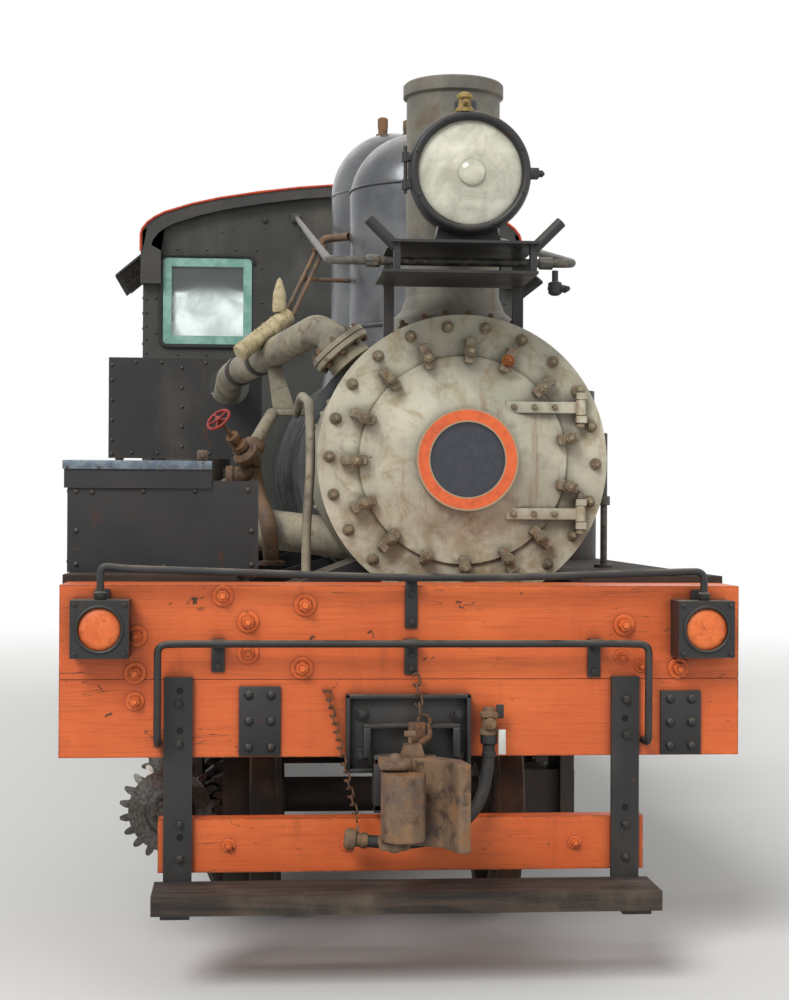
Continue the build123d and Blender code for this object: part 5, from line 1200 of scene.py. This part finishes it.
def make_hose_fittings():
    """Valve at the beam and the hose's end fitting."""
    shape = Shape()
    shape.turned((VALVE_X, VALVE_Y, 0.8800), UP, [
        (0.034, 0), (0.034, 0.016), (0.027, 0.020), (0.027, 0.058), (0.034, 0.062), (0.034, 0.078),
        (0.022, 0.084), (0.022, 0.096), (0, 0.098)], 18)
    shape.slab((0.280, FRONT - 0.078, 0.900), (0.320, FRONT - NEAR, 0.940), 0.005)
    shape.turned((VALVE_X, VALVE_Y - 0.010, 0.920), FORWARD, [
        (0.022, 0), (0.022, 0.034), (0.016, 0.038), (0.016, 0.048), (0, 0.048)], 14)
    end = Vector(HOSE_POINTS[-1])
    way = (end - Vector(HOSE_POINTS[-2])).normalized()
    shape.turned(end + way * 0.0004, way, [
        (0.026, 0), (0.028, 0.004), (0.028, 0.020), (0.024, 0.024), (0.024, 0.040), (0.036, 0.044),
        (0.038, 0.052), (0.038, 0.070), (0.030, 0.080), (0.012, 0.082), (0.010, 0.074), (0, 0.074)], 22)
    lug = end + way * 0.034
    shape.slab(lug - Vector((0.004, 0.006, 0)), lug + Vector((0.004, 0.006, 0.050)), 0.001)
    return shape.done("hose_fittings", "rusty_iron", "root", "air_hose_fittings")


def make_hose():
    curve = bpy.data.curves.new("brake_hose", "CURVE")
    curve.dimensions = "3D"
    spline = curve.splines.new("NURBS")
    spline.points.add(len(HOSE_POINTS) - 1)
    for point, place in zip(spline.points, HOSE_POINTS):
        point.co = (*place, 1.0)
    spline.order_u = 3
    spline.use_endpoint_u = True
    spline.resolution_u = 16
    curve.bevel_depth = HOSE_RADIUS
    curve.bevel_resolution = 6
    curve.use_fill_caps = True
    hose = add_piece("brake_hose", curve, "hose", "root", "air_hose")
    make_hose_fittings()


def make_hose_trim():
    """Clamp rings of the hose, the valve's lever and a blank tag."""
    shape = Shape()
    shape.turned((VALVE_X, VALVE_Y, 0.8796), DOWN, [
        (0.030, 0), (0.031, 0.006), (0.031, 0.030), (0.024, 0.036)])
    shape.turned((VALVE_X, VALVE_Y, 0.8200), DOWN, [
        (0.0228, 0), (0.0262, 0.002), (0.0262, 0.018), (0.0228, 0.020)])
    shape.slab((0.326, FRONT - 0.070, 0.936), (0.352, FRONT - 0.050, 0.986), 0.003)
    shape.done("hose_clamps", "black_iron")
    tag = Shape()
    tag.slab((0.330, FRONT - 0.092, 0.812), (0.356, FRONT - 0.090, 0.900), 0.0006)
    tag.done("hose_tag", "white_tag")


def links(shape, start, end, pitch, wide, wire):
    """Chain links in a straight line, each turned a quarter from the last."""
    run = end - start
    way = run.normalized()
    side = Vector((0, 1, 0)).cross(way).normalized()
    sides = (side, way.cross(side))
    for n in range(int(run.length / pitch)):
        middle = start + way * ((n + 0.5) * pitch)
        line = []
        for m in range(16):
            turn = 2 * math.pi * m / 16
            along = wide * math.sin(turn) + math.copysign(pitch * 0.30, math.sin(turn))
            line.append(middle + sides[n % 2] * (wide * math.cos(turn)) + way * along)
        shape.tube(line, wire, 6, closed=True)


def make_chain():
    """The hose's chain, its staple, and a short chain above the coupler."""
    shape = Shape()
    start = Vector((-0.274, FRONT - 0.023, 1.028))
    links(shape, start, Vector((-0.166, FRONT - 0.113, 0.560)), 0.0290, 0.0098, 0.0036)
    shape.tube([start + Vector(step) for step in (
        (0.012, 0.0225, 0.002), (0.012, -0.002, 0.004), (0, -0.006, 0.001), (-0.012, -0.002, 0.004),
        (-0.012, 0.0225, 0.002))], 0.004, 8)
    shape.done("hand_chain", "chain_rust")
    short = Shape()
    top = Vector((0.040, FRONT - 0.034, 1.088))
    end = Vector((0.052, FRONT - 0.080, 0.950))
    links(short, top, end, 0.036, 0.0125, 0.0046)
    short.hoop(end + Vector((0.014, 0, -0.020)), (0.3, -1, 0.2), 0.022, 0.0055, 24, 8)
    short.tube(smooth_line([
        end + Vector((0.024, -0.004, -0.030)), (0.086, FRONT - 0.100, 0.880),
        (0.036, FRONT - 0.130, 0.850), (0.030, FRONT - 0.180, 0.832)], 6), 0.012, 10)
    short.slab((0.008, FRONT - 0.110, 0.842), (0.070, FRONT - 0.094, 0.930), 0.006)
    short.done("coupler_chain_short", "chain_rust")


def make_roof():
    """Arched roof sheet with a fascia and side skirts."""
    shape = Shape()
    shape.shell(ROOF_LINE, UNDER_LINE, ROOF_Y0, ROOF_Y1)
    outer = [(x * 0.9995, z - 0.0005) for x, z in ROOF_LINE]
    inner = [(x * 0.945, z - 0.080) for x, z in ROOF_LINE]
    inner[0] = (-1.170, 3.440)
    inner[-1] = (1.170, 3.440)
    for place in (ROOF_Y0, ROOF_Y1 - 0.008):
        shape.shell(outer, inner, place + PROUD, place + 0.008)
    for side in (-1, 1):
        shape.slab((side * 1.2957, ROOF_Y0, 3.215), (side * 1.3085, CAB_Y + 0.040, 3.4405))
        shape.slab((side * 1.172, ROOF_Y0 + NEAR, 3.215), (side * 1.3080, ROOF_Y0 + 0.008, 3.4405))
    shape.done("roof_dressed", "roof", "root", "cab_roof")


# The pipe rail's ends on the cab front, and its front stretch below the headlight
RAIL_RADIUS = 0.0165
RAIL_ENDS = (-0.250, 0.680)
RAIL_Y = back(0.330)
RAIL_Z = 2.612


def make_pipe_rail():
    """The U-shaped pipe round the headlight shelf, up to the cab, and the deck's post."""
    shape = Shape()
    shape.tube(smooth_line([
        (RAIL_ENDS[0], CAB_Y - 0.016, 3.692), (-0.262, RAIL_Y, RAIL_Z), (0.672, RAIL_Y, RAIL_Z),
        (RAIL_ENDS[1], CAB_Y - 0.016, 3.692)], 8, 0.085), RAIL_RADIUS, 14)
    for x in RAIL_ENDS:
        shape.slab((x - 0.030, CAB_Y - 0.034, 3.656), (x + 0.030, CAB_Y - 0.0004, 3.714), 0.006)
        for z in (3.667, 3.703):
            shape.bolt((x - 0.018, CAB_Y - 0.034, z), FORWARD, 0.014, 0.0, 0.1)
    for x in (-0.122, 0.534):
        shape.turned((x, RAIL_Y, RAIL_Z), (1, 0, 0), [
            (0.0225, 0), (0.0240, 0.004), (0.0240, 0.048), (0.0225, 0.052)], 8)
    shape.turned((0.980, back(1.300), DECK_TOP + 0.0004), UP, [
        (0.042, 0), (0.042, 0.014), (0.015, 0.016), (0.015, 0.270), (0.027, 0.271), (0.027, 0.309),
        (0.015, 0.310), (0.015, 0.580), (0.010, 0.584)], 16)
    shape.done("pipe_rails", "rail_pipe", "root", "handrails")
    valve = Shape()
    valve.turned((0.596, RAIL_Y, 2.585), DOWN, [
        (0.012, 0), (0.012, 0.040), (0.026, 0.046), (0.026, 0.086), (0.014, 0.094), (0, 0.096)], 12)
    valve.bar((0.570, RAIL_Y, 2.525), (0.640, RAIL_Y, 2.515), 0.015, 10)
    valve.bar((0.640, RAIL_Y - 0.030, 2.515), (0.640, RAIL_Y + 0.030, 2.515), 0.010, 8)
    valve.done("shelf_valve", "black_iron")


def front_slab(shape, left, right, far, near, low, high, soft=0.002):
    """Box on the beam, from and to a distance in front of the beam's face."""
    shape.slab((left, FRONT - far, low), (right, FRONT - near, high), soft)


# How far the grab irons stand out, and the X and lowest Z of the brackets
GRAB_OUT = 0.084
GRAB_RADIUS = 0.0135
BRACKETS = ((-0.661, 1.098), (0.025, 1.088), (0.687, 1.078))


def make_grab_irons():
    """Bent rails on the beams with their brackets, at both ends."""
    shape = Shape()
    y = FRONT - GRAB_OUT
    shape.tube(smooth_line([
        (-MARKER_X, y, 1.3573), (-MARKER_X, y, 1.476), (-0.995, y, 1.466), (-0.055, y, 1.436),
        (0.420, y, 1.439), (0.995, y, 1.459), (MARKER_X, y, 1.460), (MARKER_X, y, 1.3573)]), GRAB_RADIUS)
    for x in (-MARKER_X, MARKER_X):
        shape.turned((x, y, 1.3573), UP, [
            (0.020, 0), (0.022, 0.006), (0.022, 0.024), (GRAB_RADIUS, 0.030)], 14)
    front_slab(shape, 0.003, 0.047, 0.0102, NEAR, 1.253, 1.446)
    front_slab(shape, 0.003, 0.047, GRAB_OUT + 0.008, NEAR, 1.424, 1.446)
    left = [(-0.870, FRONT - NEAR, 0.850), (-0.870, y, 0.850), (-0.870, y, 1.120), (-0.870, y, 1.200),
            (-0.790, y, 1.203)]
    right = [(-x, y, z) for x, y, z in reversed(left)]
    shape.tube(smooth_line(left + right), GRAB_RADIUS)
    for x, low in BRACKETS:
        front_slab(shape, x - 0.023, x + 0.023, 0.0102, NEAR, low, 1.216)
        front_slab(shape, x - 0.023, x + 0.023, GRAB_OUT + 0.008, NEAR, 1.190, 1.216)
    shape.turned_about()
    shape.done("grab_rails", "black_iron", "root", "grab_irons")
    plates = Shape()
    for left, right, low, high in PLATES:
        front_slab(plates, left, right, 0.0120, NEAR, low, high)
    for x in (-MARKER_X, MARKER_X):
        front_slab(plates, x - 0.026, x + 0.026, 0.0124, NEAR, 1.330, 1.392)
    plates.done("beam_plates", "black_iron")


# Boxes of the coupler pocket: left, right, far, near, low, high and softness
POCKET_BOXES = (
    (-0.208, 0.236, 0.022, NEAR, 0.745, 1.019, 0.003), (-0.208, 0.236, 0.058, 0.020, 1.006, 1.020, 0.003),
    (-0.208, -0.194, 0.058, 0.020, 0.744, 1.020, 0.003), (0.222, 0.236, 0.058, 0.020, 0.744, 1.020, 0.003),
    (-0.208, -0.113, 0.058, 0.020, 0.744, 0.758, 0.003), (0.113, 0.236, 0.058, 0.020, 0.744, 0.758, 0.003),
    (-0.148, 0.196, 0.070, 0.020, 0.902, 0.916, 0.003), (-0.148, -0.122, 0.076, 0.020, 0.800, 0.904, 0.004),
    (0.170, 0.196, 0.076, 0.020, 0.800, 0.904, 0.004), (-0.112, 0.112, 0.084, NEAR, 0.774, 0.808, 0.006),
    (-0.112, 0.112, 0.084, NEAR, 0.606, 0.638, 0.006), (-0.112, -0.0725, 0.084, NEAR, 0.610, 0.800, 0.006),
    (0.0725, 0.112, 0.084, NEAR, 0.610, 0.800, 0.006))


def make_pockets():
    """Cast coupler pockets with a deep rim, a lip and side cheeks, at both ends."""
    shape = Shape()
    for box in POCKET_BOXES:
        front_slab(shape, *box)
    shape.turned_about()
    shape.done("coupler_pockets_cast", "black_iron", "root", "coupler_pockets")


def make_steam_flanges():
    """Neck and flange pair of the steam pipe, its gusset and the shelf bar below."""
    shape = Shape()
    shape.turned(STEAM_START, STEAM_WAY, [
        (0.100, -0.004), (0.098, 0.050), (0.134, 0.0535), (0.136, 0.0560), (0.136, 0.0765),
        (0.130, 0.0790), (0.130, 0.0810), (0.136, 0.0830), (0.136, 0.1010), (0.133, 0.1040),
        (0.084, 0.1045), (0.070, 0.150)], 48)
    y = back(2.000)
    shape.plate([(-0.482, 2.395), (-0.425, 2.395), (-0.345, 2.140), (-0.448, 2.140)], y - 0.007, y + 0.007)
    shape.slab((-0.456, y - 0.030, 2.114), (-0.272, y + 0.030, 2.141), 0.003)
    shape.done("steam_flanges", "pipe_grey")


HANGER = ((1.175, 0.644), (1.285, 0.644), (1.285, 1.3845), (0.995, 1.3845), (0.995, 1.325),
          (1.085, 1.008), (1.085, 0.740))


def make_steps():
    """Two treads between hanging plates below each gangway."""
    frames = Shape()
    treads = Shape()
    y = back(7.575)
    for side in (-1, 1):
        for low in (y - 0.247, y + 0.235):
            frames.plate([(side * x, z) for x, z in HANGER], low, low + 0.012)
        for z in (1.040, 0.700):
            treads.slab((side * 1.097, y - 0.2347, z - 0.032), (side * 1.285, y + 0.2347, z), 0.004)
            frames.slab((side * 1.225, y - 0.236, z - 0.0405), (side * 1.265, y + 0.236, z - 0.0325))
    frames.done("step_hangers", "black_iron")
    treads.done("step_treads", "old_wood")


def make_coupler_trim():
    """Lock boss, lifter and pin head of both couplers."""
    shape = Shape()
    y = FRONT - 0.350
    shape.plate([(-0.040, 0.812), (0.056, 0.812), (0.038, 0.872), (-0.018, 0.872)], y + 0.062, y + 0.118)
    shape.slab((-0.006, y + 0.084, 0.862), (0.006, y + 0.096, 0.904))
    shape.slab((-0.020, y + 0.080, 0.898), (0.020, y + 0.100, 0.918), 0.004)
    shape.turned_about()
    shape.done("coupler_lock", "rusty_iron")


# Smokebox door: radius and how far it stands out from the ring's face
DOOR_OUTLINE = (
    (0.402, NEAR), (0.402, 0.0130), (0.399, 0.0160), (0.345, 0.0170), (0.325, 0.0190), (0.306, 0.0240),
    (0.286, 0.0325), (0.263, 0.0435), (0.236, 0.0550), (0.205, 0.0650), (0.170, 0.0720), (0.120, 0.0775),
    (0.060, 0.0812), (0.0, 0.0820))


def make_door():
    """Dished smokebox door with its two strap hinges."""
    shape = Shape()
    shape.turned((BOILER_X, RING_FACE, BOILER_Z), FORWARD, DOOR_OUTLINE, 120)
    for z in HINGE_LEVELS:
        shape.slab(
            (BOILER_X + 0.160, HINGE_Y - 0.010, z - 0.022), (HINGE_X, HINGE_Y + 0.012, z + 0.022), 0.003)
        shape.turned((HINGE_X, HINGE_Y, z - 0.030), UP, [
            (0.018, 0), (0.020, 0.002), (0.020, 0.058), (0.018, 0.060)], 24)
    shape.done("door_dished", "smokebox_grey", "smokebox_door", "smokebox_door")


def make_stack_bolts():
    """Rusty bolts at the stack's foot."""
    shape = Shape()
    for step in (-0.21, -0.13, -0.05, 0.04, 0.12, 0.20):
        z = BOILER_Z + math.sqrt(SMOKEBOX_RADIUS ** 2 - step ** 2) - 0.003
        shape.bolt((BOILER_X + step, back(0.640), z), (step, 0, SMOKEBOX_RADIUS), 0.040, 0.062, 0.5)
    shape.done("stack_bolts", "rusty_iron")


def soften(node, voxel, rounds):
    """Rounds a cast piece's edges."""
    remesh = NODES[node].modifiers.new("cast", "REMESH")
    remesh.mode = "VOXEL"
    remesh.voxel_size = voxel
    remesh.use_smooth_shade = True
    smooth = NODES[node].modifiers.new("soft", "SMOOTH")
    smooth.factor = 0.5
    smooth.iterations = rounds


random.seed(31)
for make in (
        make_hose, make_beam_bolts, make_strap_bolts, make_ring_bolts, make_clamp_nuts,
        make_smokebox_rivets, make_jacket_bands, make_lamp_fittings, make_marker_discs,
        make_toolbox_trim, make_shield_rivets, make_cab_trim, make_left_pipes, make_steam_flange_bolts,
        make_dome_valves, make_truck_springs, make_engine_trim, make_bunker_rivets, make_hose_trim,
        make_chain, make_roof, make_pipe_rail, make_grab_irons, make_pockets, make_steam_flanges,
        make_steps, make_coupler_trim, make_door, make_stack_bolts):
    make()
for node, voxel, rounds in (("knuckle_front", 0.007, 3), ("knuckle_rear", 0.007, 3),
                            ("coupler_heads", 0.009, 3), ("door_clamps", 0.0035, 2)):
    soften(node, voxel, rounds)
for node, finish in (("stack", "stack_paint"), ("door_clamps", "clamp_iron")):
    NODES[node].data.materials.clear()
    NODES[node].data.materials.append(FINISHES[finish][0])


# Studio: pale floor that fades to white, soft light

WHITE = (1.0, 1.0, 1.0, 1.0)


def make_stage():
    size = 60.0
    mesh = bpy.data.meshes.new("floor")
    mesh.from_pydata([(-size, -size, 0), (size, -size, 0), (size, size, 0), (-size, size, 0)], [],
                     [(0, 1, 2, 3)])
    floor = bpy.data.objects.new("floor", mesh)
    bpy.context.scene.collection.objects.link(floor)
    material = bpy.data.materials.new("floor")
    material.use_nodes = True
    tree = material.node_tree
    tree.nodes.clear()
    place = add_node(tree, "ShaderNodeTexCoord", "Object")
    length = add_node(tree, "ShaderNodeVectorMath", "Value", {0: place}, operation="LENGTH")
    fade = add_node(tree, "ShaderNodeMapRange", "Result", {
        "Value": length, "From Min": 7.0, "From Max": 15.0}, interpolation_type="SMOOTHSTEP")
    pale = add_node(tree, "ShaderNodeBsdfPrincipled", 0, {
        "Base Color": (0.74, 0.74, 0.73, 1), "Roughness": 0.9})
    glow = add_node(tree, "ShaderNodeEmission", 0, {"Color": WHITE})
    mix = add_node(tree, "ShaderNodeMixShader", 0, {0: fade, 1: pale, 2: glow})
    add_node(tree, "ShaderNodeOutputMaterial", inputs={"Surface": mix})
    mesh.materials.append(material)


def make_world(ambient=0.44):
    """White behind the object, and an even soft light on it."""
    world = bpy.data.worlds.new("world")
    bpy.context.scene.world = world
    world.use_nodes = True
    tree = world.node_tree
    tree.nodes.clear()
    light = add_node(tree, "ShaderNodeBackground", 0, {
        "Color": (1.0, 0.99, 0.97, 1.0), "Strength": ambient})
    white = add_node(tree, "ShaderNodeBackground", 0, {"Color": WHITE})
    seen = add_node(tree, "ShaderNodeLightPath", "Is Camera Ray")
    for name in ("Is Glossy Ray", "Is Transmission Ray"):
        ray = add_node(tree, "ShaderNodeLightPath", name)
        seen = add_node(tree, "ShaderNodeMath", 0, {0: seen, 1: ray}, operation="MAXIMUM")
    mix = add_node(tree, "ShaderNodeMixShader", 0, {0: seen, 1: light, 2: white})
    add_node(tree, "ShaderNodeOutputWorld", inputs={"Surface": mix})


def sun(name, towards, strength, spread):
    """Broad soft light that travels along a direction."""
    data = bpy.data.lights.new(name, "SUN")
    data.energy = strength
    data.angle = math.radians(spread)
    light = bpy.data.objects.new(name, data)
    light.rotation_mode = "QUATERNION"
    light.rotation_quaternion = Vector(towards).to_track_quat("-Z", "Y")
    bpy.context.scene.collection.objects.link(light)


make_stage()
make_world()
sun("key", (0.55, 0.95, -0.95), 2.1, 24)
sun("fill", (-0.9, 0.5, -0.6), 0.5, 60)
sun("behind", (0.1, -1.0, -0.7), 0.5, 60)

scene = bpy.context.scene
scene.view_settings.view_transform = "Standard"
